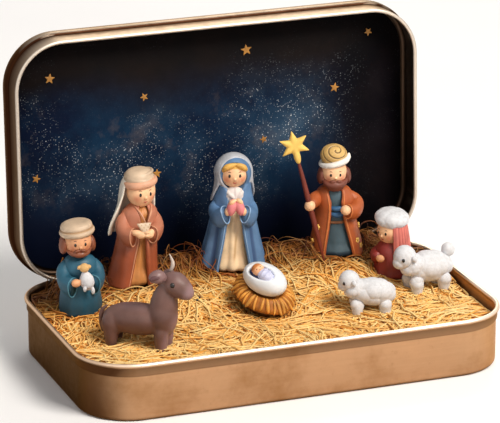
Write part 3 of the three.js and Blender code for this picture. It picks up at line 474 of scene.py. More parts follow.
def ease(value, low, high):
    """0 at low, 1 at high, held beyond them, and a smooth cubic step between."""
    share = np.clip((value - low) / (high - low), 0, 1)
    return share * share * (3 - 2 * share)


def bell(value, middle, reach):
    """1 at the middle, falling off both ways as e to the minus square of the distance over the reach."""
    return np.exp(-(((value - middle) / reach) ** 2))


def by_height(share, low, high):
    """An accent that grows from none at one height to its share at another, above it or below."""
    return lambda points: share * ease(points[:, 2], low, high)


def all_over(share):
    """An accent of one share at every point."""
    return lambda points: np.full(len(points), share)


def turning(axis, degrees):
    """The rotation about an axis as a matrix."""
    return np.array(Matrix.Rotation(math.radians(degrees), 3, axis))


def rocked(points, tilt, nod=0):
    """Points turned about Y by tilt degrees, then about X by nod degrees."""
    return points @ (turning("X", nod) @ turning("Y", tilt)).T


def smooth_line(points, share):
    """A curve through points, read at shares of its length.

    It is made of cubic Hermite pieces, whose slopes come from the neighbouring chords.
    """
    p = np.asarray(points, float)
    length = np.concatenate([[0], np.cumsum(np.linalg.norm(np.diff(p, axis=0), axis=1))])
    slope = np.gradient(p, length, axis=0)
    at = np.asarray(share, float) * length[-1]
    i = np.clip(np.searchsorted(length, at, side="right") - 1, 0, len(p) - 2)
    span = (length[i + 1] - length[i])[:, None]
    u = (at - length[i])[:, None] / span
    start, end = 2 * u**3 - 3 * u**2 + 1, 3 * u**2 - 2 * u**3
    out, into = u**3 - 2 * u**2 + u, u**3 - u**2
    return start * p[i] + end * p[i + 1] + span * (out * slope[i] + into * slope[i + 1])


def graded(table, heights):
    """[value, height] rows read at the given heights, straight between them."""
    table = np.asarray(table, float)
    return np.interp(heights, table[:, 1], table[:, 0])


def from_point(point, *offsets):
    """Places given by their offsets from a point, in the figure's own frame."""
    return [np.add(point, offset) for offset in offsets]


# Surfaces, each as its points and its four-sided faces


def outward(points, faces):
    """The faces, turned over if the volume they enclose comes out negative."""
    corner = points[faces]
    volume = np.einsum("ij,ij->i", corner[:, 0], np.cross(corner[:, 1], corner[:, 2])).sum()
    volume += np.einsum("ij,ij->i", corner[:, 0], np.cross(corner[:, 2], corner[:, 3])).sum()
    return faces[:, ::-1] if volume < 0 else faces


def skin(grid, capped=True, looped=False):
    """Quads over a grid of rings, with both ends closed by a point, or joined end to end."""
    rows, cols, _ = grid.shape
    points = grid.reshape(-1, 3)
    if capped:
        ends = np.repeat(np.stack([grid[0].mean(0), grid[-1].mean(0)])[:, None], cols, axis=1)
        points = np.concatenate([ends[0], points, ends[1]])
        rows += 2
    steps = rows if looped else rows - 1
    r, c = np.meshgrid(np.arange(steps), np.arange(cols), indexing="ij")
    after, beside = (r + 1) % rows, (c + 1) % cols
    corners = [r * cols + c, r * cols + beside, after * cols + beside, after * cols + c]
    return points, outward(points, np.stack(corners, -1).reshape(-1, 4))


def turned(
    profile, depth=FIGURE_DEPTH, lean=(0, 0), at=(0, 0, 0), folds=(0, 0, 1), tilt=0, rows=56, cols=72
):
    """[radius, height] points carried round an upright axis, narrowed front to back and leaned.

    Folds are (count, height, reach): the radius waves by a cosine of the angle, which fades over the
    reach.
    """
    line = smooth_line(profile, np.linspace(0, 1, rows))
    radius, z = np.maximum(line[:, :1], POLE_GAP), line[:, 1:]
    angle = np.linspace(0, TAU, cols, endpoint=False)[None]
    count, height, reach = folds
    fade = np.clip(1 - (z - z.min()) / reach, 0, 1)
    radius = radius + height * fade * np.cos(count * angle + 0.9 * np.sin(2 * angle + 1))
    x, y = radius * np.sin(angle), -radius * np.cos(angle) * depth
    grid = np.stack([x, y, z + 0 * angle], -1)
    grid[..., 0] += lean[0] * z
    grid[..., 1] += lean[1] * z
    return skin(rocked(grid, tilt) + at)


def pebble(at, size, tilt=0, nod=0, taper=0.0, rows=24, cols=32):
    """An ovoid of rings from pole to pole, wider above by taper, tilted about Y and nodded about X."""
    up = np.linspace(POLE_GAP, math.pi - POLE_GAP, rows)[:, None]
    angle = np.linspace(0, TAU, cols, endpoint=False)[None]
    z = -np.cos(up) + 0 * angle
    wide = np.sin(up) * (1 + taper * z)
    grid = np.stack([wide * np.cos(angle), wide * np.sin(angle), z], -1) * size
    return skin(rocked(grid, tilt, nod) + at)


def carried(line, radius, cols, sag=None):
    """Rings of the given radii carried along a line; sag draws their lower half down."""
    along = np.gradient(line, axis=0)
    along /= np.linalg.norm(along, axis=1, keepdims=True)
    spare = np.eye(3)[np.argmin(np.abs(along).max(0))]
    side = np.cross(spare, along)
    side /= np.linalg.norm(side, axis=1, keepdims=True)
    over = np.cross(along, side)
    angle = np.linspace(0, TAU, cols, endpoint=False)[None, :, None]
    offset = radius[:, None, None] * (np.cos(angle) * side[:, None] + np.sin(angle) * over[:, None])
    if sag is not None:
        offset[..., 2] *= np.where(offset[..., 2] < 0, 1 + sag[:, None], 1)
    return line[:, None] + offset


def limb(points, radii, rows=30, cols=20):
    """A limb of changing radius along a smooth line, its ends rounded as the cube root of a sine."""
    share = (1 - np.cos(np.linspace(LIMB_END, math.pi - LIMB_END, rows))) / 2
    radius = np.interp(share, np.linspace(0, 1, len(radii)), radii) * np.cbrt(np.sin(math.pi * share))
    return skin(carried(smooth_line(points, share), radius, cols))


def limbs(point, lines, radii, rows, cols):
    """Limbs of like radii, one along each of several lines given from a point."""
    return [limb(from_point(point, *line), radii, rows, cols) for line in lines]


def bell_sleeve(points, radii, hang, cols=36):
    """A sleeve that ends in an open cuff, and the ring of that cuff.

    Its lower half hangs down towards the cuff, and its last rings turn back inside.
    """
    outside = (1 - np.cos(np.linspace(0.05, math.pi * 0.97, 26))) / 2
    inside = np.array([1.0, 0.97, 0.9, 0.82, 0.76])
    share = np.concatenate([outside, inside])
    wide = np.interp(share, np.linspace(0, 1, len(radii)), radii)
    wide *= np.cbrt(np.sin(np.minimum(math.pi * share, math.pi / 2)))
    wide[len(outside) :] *= np.array([0.94, 0.84, 0.8, 0.74, 0.4])
    grid = carried(smooth_line(points, share), wide, cols, hang * ease(share, 0.35, 1))
    return skin(grid), grid[len(outside)]


def hoop(ring, radius, cols=12):
    """A round cord, of one radius or a radius for each point, carried round a closed ring of points."""
    ring = np.asarray(ring, float)
    along = np.roll(ring, -1, 0) - np.roll(ring, 1, 0)
    along /= np.linalg.norm(along, axis=1, keepdims=True)
    spoke = ring - ring.mean(0)
    over = np.cross(along, spoke)
    over /= np.linalg.norm(over, axis=1, keepdims=True)
    side = np.cross(over, along)
    angle = np.linspace(0, TAU, cols, endpoint=False)[None, :, None]
    thick = np.broadcast_to(np.asarray(radius, float), (len(ring),))[:, None, None]
    offset = thick * (np.cos(angle) * side[:, None] + np.sin(angle) * over[:, None])
    return skin(ring[:, None] + offset, capped=False, looped=True)


def level_ring(at, radius, depth=1.0, tilt=0, nod=0, count=56):
    """Points on a level circle, narrowed front to back, tilted about Y and nodded about X."""
    angle = np.radians(np.linspace(0, 360, count, endpoint=False))
    ring = np.stack([radius * np.sin(angle), -radius * depth * np.cos(angle), 0 * angle], -1)
    return rocked(ring, tilt, nod) + at


def cloak(profile, gap, thick, depth=FIGURE_DEPTH, lean=(0, 0), folds=(0, 0, 1), rows=54, cols=72):
    """A sheet of clay wrapped round an upright axis and open in front, and its two edge lines.

    Each row is one loop: round the outside from one edge of the opening to the other, over a rounded
    edge, and back along the inside. gap is the opening's half width in degrees by height, and the first
    and last rows close on the sheet's middle, so that the hem is rounded.
    """
    share = np.concatenate([[0, 0, 0.004], np.linspace(0.012, 0.988, rows), [0.996, 1, 1]])
    fullness = np.concatenate([[0, 0.6, 0.9], np.ones(rows), [0.9, 0.6, 0]])[:, None]
    line = smooth_line(profile, share)
    radius, z = line[:, :1] - thick / 2, line[:, 1:]
    start = np.radians(graded(gap, z[:, 0]))[:, None]
    edge = np.linspace(0, math.pi, 7)[None, 1:-1] + 0 * start
    sweep = start + (TAU - 2 * start) * np.linspace(0, 1, cols)[None]
    level = np.ones_like(sweep)
    angle = np.concatenate([sweep, TAU - start + 0 * edge, sweep[:, ::-1], start + 0 * edge], 1)
    proud = np.concatenate([level, np.cos(edge), -level, -np.cos(edge)], 1)
    past = np.concatenate([0 * level, np.sin(edge), 0 * level, -np.sin(edge)], 1)
    count, height, reach = folds
    wave = height * np.clip(1 - (z - z.min()) / reach, 0, 1) * np.cos(count * angle + np.sin(3 * angle))
    out = np.maximum(radius, thick / 2 + 0.02) + wave + fullness * proud * thick / 2
    x = out * np.sin(angle) + fullness * past * thick / 2 * np.cos(angle)
    y = -(out * np.cos(angle) - fullness * past * thick / 2 * np.sin(angle)) * depth
    grid = np.stack([x + lean[0] * z, y + lean[1] * z, z + 0 * angle], -1)
    return skin(grid, capped=False), [grid[3:-3, 0], grid[3:-3, cols - 1]]


def draped(rows, thick, folds, across=64, down=48):
    """A sheet of clay hung through rows of places, from its top row down to its hem.

    The places are smoothed along each row and then down the rows. Each ring runs along the outside and
    back along the inside, half the thickness away along the normal, which thins to nothing at the edges.
    Folds are (count, height): the sheet waves across by a cosine that grows towards the hem.
    """
    side, fall = np.linspace(0, 1, across), np.linspace(0, 1, down)
    curves = np.stack([smooth_line(row, side) for row in rows])
    sheet = smooth_line(curves.reshape(len(rows), -1), fall).reshape(down, across, 3)
    normal = np.cross(np.gradient(sheet, axis=1), np.gradient(sheet, axis=0))
    normal /= np.linalg.norm(normal, axis=2, keepdims=True)
    count, height = folds
    wave = height * fall[:, None] ** 1.5 * np.cos(TAU * count * side)[None]
    full_across, full_down = (np.sqrt(1 - np.abs(2 * share - 1) ** 12) for share in (side, fall))
    full = full_across[None] * full_down[:, None]
    sheet = sheet + normal * wave[..., None]
    out = normal * (full * thick / 2)[..., None]
    return skin(np.concatenate([sheet + out, (sheet - out)[:, ::-1]], 1), capped=False)


def fold_star(at, radius, waist, thick, points, turn, cols=96, rows=14):
    """A puffy star standing upright: straight edges run from tips at radius to inner corners at waist.

    On such an edge the reach at an angle a from the tip is R w sin(b) / (R sin(a) + w sin(b - a)), with b
    half the angle between two tips, and the thickness falls off round the sides.
    """
    angle = np.linspace(0, TAU, cols, endpoint=False)[None]
    half = math.pi / points
    off = np.abs((angle - math.radians(turn) + half) % (2 * half) - half)
    reach = radius * waist * math.sin(half) / (radius * np.sin(off) + waist * np.sin(half - off))
    up = np.linspace(POLE_GAP, math.pi - POLE_GAP, rows)[:, None]
    wide = np.sin(up) ** 0.7 * reach
    grid = np.stack([wide * np.cos(angle), -np.cos(up) * thick + 0 * angle, wide * np.sin(angle)], -1)
    return skin(grid + at)


def bowl(at, size, opening, thick, facing, turn=0, rows=34, cols=64):
    """An ovoid shell with one oval opening that faces along a direction.

    Rings run from the outer pole behind to the opening's edge, round that edge and back along the inside.
    opening is its half angle across and along, and turn rolls the oval about its direction.
    """
    front = Vector(facing).normalized()
    aim = np.array(Vector((0, -1, 0)).rotation_difference(front).to_matrix())
    around = np.linspace(0, TAU, cols, endpoint=False)[None]
    across, along = np.radians(opening)
    rolled = around - math.radians(turn)
    edge = math.pi - 1 / np.hypot(np.cos(rolled) / across, np.sin(rolled) / along)
    share = np.linspace(0.01, 1, rows)
    over = np.linspace(0, math.pi, 9)[1:-1]
    out = np.concatenate([share, 1 + 0 * over, share[::-1]])[:, None]
    lean = np.concatenate([0 * share, over, math.pi + 0 * share])[:, None]
    polar = out * edge + np.sin(lean) * thick / 2 / np.mean(size)
    way = np.stack([np.sin(polar) * np.cos(around), np.cos(polar), np.sin(polar) * np.sin(around)], -1)
    return skin(way @ aim.T * (np.array(size) - thick / 2 + np.cos(lean)[..., None] * thick / 2) + at)


def spread_seeds(points, count):
    """Indices of points spread evenly over a surface: each next one is the farthest from those taken."""
    taken = [0]
    far = np.linalg.norm(points - points[0], axis=1)
    for _ in range(count - 1):
        taken.append(int(far.argmax()))
        far = np.minimum(far, np.linalg.norm(points - points[taken[-1]], axis=1))
    return np.array(taken)


# Meshes


class Figure:
    """A body of the part with its own millimetre frame: turned about Z and set down where it stands."""

    def __init__(self, body, foot=None):
        self.body = body
        x, y, turn = STANDS.get(body, (0, 0, 0))
        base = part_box(foot)[0].z / MM if foot else 0.0
        self.turn = turning("Z", turn)
        self.shift = np.array([x, y, base])

    def world(self, points):
        """The part's places, in metres, of points in this figure's frame."""
        return (np.asarray(points, float) @ self.turn.T + self.shift) * MM

    def local(self, points):
        """The same undone."""
        return (points / MM - self.shift) @ self.turn

    def piece(
        self, name, surfaces, finish, node=None, slot=None, fuse=0, relax=6, accent=None, puff=None
    ):
        """One object of one or more surfaces, riding on this body.

        fuse is a voxel size that melts the surfaces into one, relax the smoothing steps after it. accent
        gives each local point its share of the finish's second colour, and puff is (count, reach, height,
        clear) of tufts.
        """
        surfaces = [surfaces] if isinstance(surfaces, tuple) else surfaces
        starts = np.cumsum([0] + [len(points) for points, _ in surfaces[:-1]])
        points = self.world(np.concatenate([points for points, _ in surfaces]))
        faces = np.concatenate([faces + start for (_, faces), start in zip(surfaces, starts)])
        mesh = bpy.data.meshes.new(name)
        mesh.from_pydata(points, [], faces.tolist())
        welded(mesh)
        obj = bpy.data.objects.new(name, mesh)
        bpy.context.scene.collection.objects.link(obj)
        if fuse:
            melted(obj, fuse, relax)
        if puff:
            tufted(obj.data, *puff, self.shift[2] * MM)
        if accent:
            marked(obj.data, "accent", accent(self.local(places(obj.data))))
        obj.data.polygons.foreach_set("use_smooth", np.ones(len(obj.data.polygons), bool))
        obj.data.materials.append(FINISHES[finish])
        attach(obj, self.body)
        if node:
            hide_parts(node)
        return obj


def places(mesh):
    """A mesh's points as an array."""
    co = np.empty(3 * len(mesh.vertices))
    mesh.vertices.foreach_get("co", co)
    return co.reshape(-1, 3)


def marked(mesh, name, values):
    """Stores one number for each of the mesh's points."""
    shares = np.clip(values, 0, 1).astype(np.float32)
    mesh.attributes.new(name, "FLOAT", "POINT").data.foreach_set("value", shares)


def welded(mesh):
    """Merges points that coincide, which closes seams and poles."""
    solid = bmesh.new()
    solid.from_mesh(mesh)
    bmesh.ops.remove_doubles(solid, verts=solid.verts, dist=WELD)
    solid.to_mesh(mesh)
    solid.free()


def melted(obj, voxel, relax):
    """Melts a piece's overlapping surfaces into one skin and relaxes it, as pressed clay does."""
    remesh = obj.modifiers.new("melt", "REMESH")
    remesh.mode = "VOXEL"
    remesh.voxel_size = voxel * MM
    soften = obj.modifiers.new("relax", "SMOOTH")
    soften.factor = 0.5
    soften.iterations = relax
    shape = bpy.data.meshes.new_from_object(obj.evaluated_get(bpy.context.evaluated_depsgraph_get()))
    obj.modifiers.clear()
    old, obj.data = obj.data, shape
    bpy.data.meshes.remove(old)


def tufted(mesh, count, reach, height, clear, base):
    """Raises soft tufts: a point moves out along its normal by a parabola about the nearest tuft.

    The tufts fade out below a clear height over the base, so that legs stay smooth.
    """
    points = places(mesh)
    normals = np.empty(3 * len(points))
    mesh.vertices.foreach_get("normal", normals)
    near = np.full(len(points), np.inf)
    for middle in points[spread_seeds(points, count)]:
        near = np.minimum(near, np.linalg.norm(points - middle, axis=1))
    above = ease((points[:, 2] - base) / MM, clear, clear + 2)
    dome = np.clip(1 - (near / (reach * MM)) ** 2, 0, 1) * above
    points += normals.reshape(-1, 3) * (dome * height * MM)[:, None]
    mesh.vertices.foreach_set("co", points.ravel())
    mesh.update()


# Tin


def rim_path(notched):
    """The rim's crest, counter-clockwise: places and outward directions, doubled at the notches."""
    angle = np.linspace(0, math.pi / 2, CORNER_STEPS)
    quarters = [(1, 1), (-1, 1), (-1, -1), (1, -1)]
    crest, out = [], []
    for turn, (sx, sy) in enumerate(quarters):
        heading = angle + turn * math.pi / 2
        direction = np.stack([np.cos(heading), np.sin(heading)], -1)
        middle = np.array([sx * (RIM_HALF[0] - RIM_CORNER), sy * (RIM_HALF[1] - RIM_CORNER)])
        crest.append(middle + RIM_CORNER * direction)
        out.append(direction)
        if turn == 0 and notched:
            x = np.array([k + side * NOTCH_HALF for k in KNUCKLES[::-1] for side in (1, 1, -1, -1)])
            crest.append(np.stack([x, 0 * x + RIM_HALF[1]], -1))
            out.append(np.tile([0.0, 1.0], (len(x), 1)))
    return np.concatenate(crest), np.concatenate(out)


def pressed(profile, notch_rows=None):
    """[distance outside the crest, height] points carried round the rim and closed at its middle.

    In the notches the rows of the curl are cut down to the band's edge. Of the eight places that follow
    the first corner, four at each notch, the inner two of each four lie inside it.
    """
    place, out = rim_path(notch_rows is not None)
    profile = np.asarray(profile, float)
    reach = np.repeat(profile[:, :1], len(place), axis=1)
    height = np.repeat(profile[:, 1:], len(place), axis=1)
    if notch_rows is not None:
        inside = CORNER_STEPS + np.array([1, 2, 5, 6])
        rows = np.arange(*notch_rows)[:, None]
        reach[rows, inside] = np.clip(reach[rows, inside], BAND - SHEET, BAND)
        height[rows, inside] = np.minimum(height[rows, inside], RIM_HEIGHT - NOTCH_ROOM)
    flat = place[None] + reach[..., None] * out[None]
    return skin(np.concatenate([flat, height[..., None]], -1))


def arc(d, z, radius, start, end, steps=6):
    """[distance, height] points on an arc from one angle in degrees to another."""
    angle = np.radians(np.linspace(start, end, steps))
    return [[d + radius * math.cos(a), z + radius * math.sin(a)] for a in angle]


def opened(points, forward=True):
    """The lid, drawn closed about the rim, swung open about the hinge line; or the same swing undone."""
    hinge = np.array([0, RIM_HALF[1], 0])
    lift = np.array([0, 0, RIM_HEIGHT])
    swing = turning("X", -(90 + LID_LEAN))
    if forward:
        return (points - hinge) @ swing.T + hinge + lift
    return (points - hinge - lift) @ swing + hinge


def tray_shade(p):
    """Browner along the tray's bottom edge, with painted shade on its left, under its curl and step, and
    inside.
    """
    outer = ~inside_tray(p[:, 0], p[:, 1], -WALL + SHEET / 2)
    # Painted shade on the left side
    left = 0.86 * ease(-p[:, 0], 60, 74) * (p[:, 2] < RIM_HEIGHT)
    below = 0.6 * ease(p[:, 2], 2.4, 0.2) + left
    # Painted shadow lines under the curl and under the step
    lines = bell(p[:, 2], BAND_HIGH - 0.2, 0.28) + 0.9 * bell(p[:, 2], BAND_LOW, 0.3)
    # Inside the tray: painted shade
    return np.where(outer, np.clip(below + 0.8 * lines, 0, 1), 0.75 * (p[:, 2] < BAND_HIGH))


def tray_painted_highlight(p):
    """A painted highlight on the crest of the tray's bead, less bright round to the left, which is in
    shade.
    """
    crest = 0.95 * ease(p[:, 2], RIM_HEIGHT - 0.3, RIM_HEIGHT + 0.4)
    return crest * (1 - 0.65 * ease(-p[:, 0], 50, 72))


def lid_shade(p):
    """Painted shade on the lid: inside, on its plug and wall, in its shoulder's groove, above its lip and
    on its left.
    """
    back = opened(p, False)
    z = back[:, 2]
    wall_line = np.where(z > SHOULDER + SHEET / 2, LID_WALL, PLUG)
    inside = inside_tray(back[:, 0], back[:, 1], SHEET / 2 - wall_line)
    deep = inside & (z > LID_CURL - PLUG_DEPTH) & (z < LID_TOP - SHEET / 2)
    # Painted shadow in the shoulder's groove and above the lip
    groove = bell(z, SHOULDER - 0.2, 0.45)
    low = bell(z, 2 * LID_CURL - PLUG_DEPTH, 0.4)
    # Painted shade on the left, on the wall and on the plug's outer side
    left = 0.8 * ease(-p[:, 0], 58, 74) * (z < LID_TOP - 0.1)
    wall = 0.4 * ease(z, SHOULDER + 1, SHOULDER + 1.6) * (z < LID_TOP - LID_EDGE + 0.3)
    neck = 0.5 * (z > LID_CURL - PLUG_DEPTH) * (z < SHOULDER)
    # Inside the lid: painted shade
    return np.where(deep, 0.9, np.clip(0.9 * groove + 0.7 * low + wall + neck + left, 0, 1))


def lid_painted_highlight(p):
    """Painted highlights on the crest of the lip that stands round the sky, and on the edge of the lid's
    shoulder on top.
    """
    z = opened(p, False)[:, 2]
    lip = ease(-z, PLUG_DEPTH, PLUG_DEPTH + 0.5)
    edge = bell(z, SHOULDER + 0.7, 0.3) * (p[:, 2] > 60)
    return np.clip(0.75 * lip + 0.35 * edge * ease(p[:, 0], -72, -60), 0, 1)


def make_tray():
    """The drawn tray: wall, step and band, a curled rim with two notches, and its wire's finish."""
    wall_in, band_in = WALL - SHEET, BAND - SHEET
    inner_radius = BOTTOM_EDGE - SHEET
    lower = arc(WALL - BOTTOM_EDGE, BOTTOM_EDGE, BOTTOM_EDGE, -90, 0)
    inner = arc(wall_in - inner_radius, BOTTOM_EDGE, inner_radius, 0, -90)
    step = [[WALL, BAND_LOW - 0.6], [BAND - 0.06, BAND_LOW - 0.1], [BAND, BAND_LOW + 0.15]]
    before = [*lower, *step, [BAND, BAND_HIGH - 0.3]]
    rim = arc(0, RIM_HEIGHT, CURL, -75, 240, CURL_STEPS)
    after = [[band_in, BAND_HIGH - SHEET], [band_in, BAND_LOW], [wall_in, BAND_LOW - 0.45], *inner]
    shell = pressed([*before, *rim, *after], (len(before), len(before) + CURL_STEPS))
    sheet = Figure("tray").piece("tray_sheet", shell, "tray_tin", "tin_tray", "tin", accent=tray_shade)
    # Painted highlight on the bead's crest
    marked(sheet.data, "bright", tray_painted_highlight(places(sheet.data) / MM))
    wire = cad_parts["hinge_wire"].data
    wire.materials.clear()
    wire.materials.append(FINISHES["wire"])


def lid_shell():
    """The drawn lid: its panel, wall and shoulder, and a plug that ends in a curled lip."""
    lid_in, shoulder_in, edge_in = LID_WALL - SHEET, SHOULDER + SHEET, LID_EDGE - SHEET
    edge_height = LID_TOP - LID_EDGE
    outer_edge = arc(LID_WALL - LID_EDGE, edge_height, LID_EDGE, 0, 90)
    inner_edge = arc(lid_in - edge_in, edge_height, edge_in, 90, 0)
    inside = [
        *inner_edge,
        [lid_in, shoulder_in + 0.2],
        [lid_in - 0.2, shoulder_in],
        [PLUG_IN, shoulder_in],
        [PLUG_IN, LID_CURL - PLUG_DEPTH],
    ]
    lip = arc(PLUG - LID_CURL, -PLUG_DEPTH, LID_CURL, 80, 360, CURL_STEPS)
    outside = [
        [PLUG, SHOULDER - 0.25],
        [PLUG + 0.25, SHOULDER],
        [LID_WALL - 0.25, SHOULDER],
        [LID_WALL, SHOULDER + 0.25],
    ]
    points, faces = pressed([*inside, *lip, *outside, *outer_edge])
    return opened(points), faces


def hinge_leaf(x):
    """A leaf of the lid's sheet curled round the wire: a section carried across, smaller at its ends."""
    middle = np.array([RIM_HALF[1], 0])
    plug_line = RIM_HALF[1] + PLUG_IN
    loop = np.array([*arc(*middle, CURL, -150, 160, CURL_STEPS), [plug_line, 0.3], [plug_line, -0.3]])
    across = x + KNUCKLE_HALF * np.array([-1, -0.96, 0.96, 1])
    shrink = np.array([0.9, 1, 1, 0.9])[:, None, None]
    ring = middle + shrink * (loop - middle)[None]
    grid = np.concatenate([np.broadcast_to(across[:, None, None], (4, len(loop), 1)), ring], -1)
    points, faces = skin(grid)
    return opened(points), faces


def printed_star(x, up, size, turn):
    """A flat five-pointed star on the lining."""
    points, faces = fold_star((0, 0, 0), size, size * 0.42, 0.12, 5, turn, 60, 8)
    y = RIM_HALF[1] - up - points[:, 2]
    z = CARD_TOP - CARD - STAR_SUNK + points[:, 1]
    drawn = opened(np.stack([points[:, 0] + x, y, z], -1))
    return drawn, outward(drawn, faces)


def make_lid():
    """The lid standing open, its hinge leaves, and the lining card with its stars."""
    lid = Figure("lid")
    sheet = lid.piece("lid_sheet", lid_shell(), "lid_tin", "tin_lid", "tin", accent=lid_shade)
    # Painted highlights on the lip and on the shoulder's edge
    marked(sheet.data, "bright", lid_painted_highlight(places(sheet.data) / MM))
    leaves = [hinge_leaf(x) for x in KNUCKLES]
    lid.piece("hinge_leaves", leaves, "lid_tin", slot="tin", accent=all_over(0.3))
    face = CARD_TOP - CARD
    points, faces = pressed([[CARD_EDGE - 0.1, face], [CARD_EDGE, face + 0.1], [CARD_EDGE, CARD_TOP]])
    lid.piece("night_sky_card", (opened(points), faces), "night", "sky_lining", "sky_card")
    lid.piece("printed_stars", [printed_star(*star) for star in STARS], "foil", slot="gold_clay")


# Straw


def straw_height(x, y):
    """The bed's height: a low front that rises to a mound behind, lower at the ends and under the lid."""
    ends = 1 - ENDS_DROP * ease(np.abs(x), *ENDS_REACH)
    mound = STRAW_FRONT + STRAW_RISE * ease(y, *RISE_REACH) * ends
    return mound + (np.minimum(mound, STRAW_UNDER_LID) - mound) * ease(y, *PLUG_REACH)


def straw_top(x, y):
    """The height that fibres lie at: the bed, heaped along the back to a ridge that hides the hinge."""
    bed = straw_height(x, y)
    heap = ease(y, *RIDGE_FRONT) * (1 - ease(y, *RIDGE_BACK))
    heap *= 1 - ease(np.abs(x - RIDGE_MIDDLE), *RIDGE_ENDS)
    return bed + np.maximum(RIDGE - bed, 0) * heap


def inside_tray(x, y, inset):
    """Whether a place lies inside the tray's rounded outline by inset."""
    dx = np.maximum(np.abs(x) - (RIM_HALF[0] - RIM_CORNER), 0)
    dy = np.maximum(np.abs(y) - (RIM_HALF[1] - RIM_CORNER), 0)
    return np.hypot(dx, dy) < RIM_CORNER - inset


def drawn_in(x, y, inset):
    """Places moved in, where they must be, to lie inside the tray's rounded outline by inset."""
    mx, my = RIM_HALF[0] - RIM_CORNER, RIM_HALF[1] - RIM_CORNER
    cx, cy = np.clip(x, -mx, mx), np.clip(y, -my, my)
    away = np.hypot(x - cx, y - cy)
    pull = np.minimum(1, (RIM_CORNER - inset) / np.maximum(away, 1e-6))
    return cx + (x - cx) * pull, cy + (y - cy) * pull


def under_figures(x, y):
    """How far a place lies inside the nearest figure's oval foot; below zero outside them all."""
    depths = []
    for name, radius in FOOTPRINTS.items():
        stand_x, stand_y, degrees = STANDS[name]
        dx, dy, turn = x - stand_x, y - stand_y, math.radians(degrees)
        across = dx * math.cos(turn) + dy * math.sin(turn)
        along = dy * math.cos(turn) - dx * math.sin(turn)
        depths.append(radius - np.hypot(across, along / FIGURE_DEPTH))
    return np.max(depths, axis=0)


def round_feet(x, y):
    """The heading that runs round the nearest figure's foot."""
    stands = np.array([STANDS[name][:2] for name in FOOTPRINTS])
    dx, dy = x[:, None] - stands[:, 0], y[:, None] - stands[:, 1]
    near = np.argmin(np.hypot(dx, dy) - np.array(list(FOOTPRINTS.values())), axis=1)[:, None]
    return np.arctan2(np.take_along_axis(dx, near, 1)[:, 0], -np.take_along_axis(dy, near, 1)[:, 0])


def straw_floor():
    """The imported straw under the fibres: rippled rings that shrink from the wall to the middle."""
    place, out = rim_path(False)
    low = np.concatenate([place - 2.4 * out, np.full((len(place), 1), 1.0)], 1)[None]
    share = np.linspace(1, 0.02, 80)[:, None, None]
    flat = (place - 1.4 * out)[None] * share
    x, y = flat[..., 0], flat[..., 1]
    ripple = 0.35 * np.sin(1.7 * x + 2 * np.sin(0.9 * y)) + 0.3 * np.sin(1.3 * y + 2 * np.sin(1.1 * x))
    z = straw_top(x, y) - FLOOR_SUNK + ripple - 2 * ease(under_figures(x, y), -1.5, 1)
    return skin(np.concatenate([low, np.stack([x, y, z], -1)]))


def fibre_places(rng, count, rear, ring):
    """Where fibres have their middles: behind rear and clear of the feet, or in a ring round them."""
    tries = count * (4 if ring is None else 40)
    x = rng.uniform(-RIM_HALF[0], RIM_HALF[0], tries)
    y = rng.uniform(rear, RIM_HALF[1], tries)
    within = under_figures(x, y)
    clear = inside_tray(x, y, FIBRE_MIDDLE_INSET) & (within < 0)
    if ring is not None:
        clear &= within > -ring
    return x[clear][:count], y[clear][:count]


def fibre_lines(rng, x, y, lift, reach, along, spread, ring):
    """Each fibre's line, as one array of fibres by steps, and the depth that it starts at.

    A fibre has a heading that drifts with its place, or runs round the feet, a curl and a sideways wave.
    Its height follows the bed with an arch of its own, and dips under the figures' feet.
    """
    n, steps = len(x), along.shape[1] - 1
    length = rng.uniform(*reach, n)[:, None]
    drift = 1.9 * np.sin(x / 21 + 1.2) + 1.7 * np.cos(y / 15 + x / 37)
    if ring is not None:
        drift = round_feet(x, y)
    heading = (drift + rng.normal(0, spread, n) + math.pi * rng.integers(0, 2, n))[:, None]
    angle = heading + rng.normal(0, 1.3, n)[:, None] * along
    dx, dy = np.cos(angle) * length / steps, np.sin(angle) * length / steps
    sway, phase = rng.uniform(0.1, 0.55, n)[:, None], rng.uniform(0, TAU, n)[:, None]
    wave = sway * np.sin(TAU * along * length / 8.5 + phase)
    px = x[:, None] + np.cumsum(dx, 1) - dx.sum(1, keepdims=True) / 2 - wave * np.sin(angle)
    py = y[:, None] + np.cumsum(dy, 1) - dy.sum(1, keepdims=True) / 2 + wave * np.cos(angle)
    px, py = drawn_in(px, py, FIBRE_INSET)
    arch = rng.uniform(*lift, n)[:, None] * (1 - (2 * along) ** 2)
    depth = rng.uniform(-1.2, 0.6, n)[:, None] + rng.normal(0, 0.5, (n, 1)) * along
    pz = straw_top(px, py) + depth + arch - 2.6 * ease(under_figures(px, py), -0.6, 1.2)
    pz = np.minimum(pz, np.where(py > LID_FRONT, FIBRE_TOP_UNDER_LID, FIBRE_TOP))
    return np.stack([px, py, pz], -1), depth[:, 0]


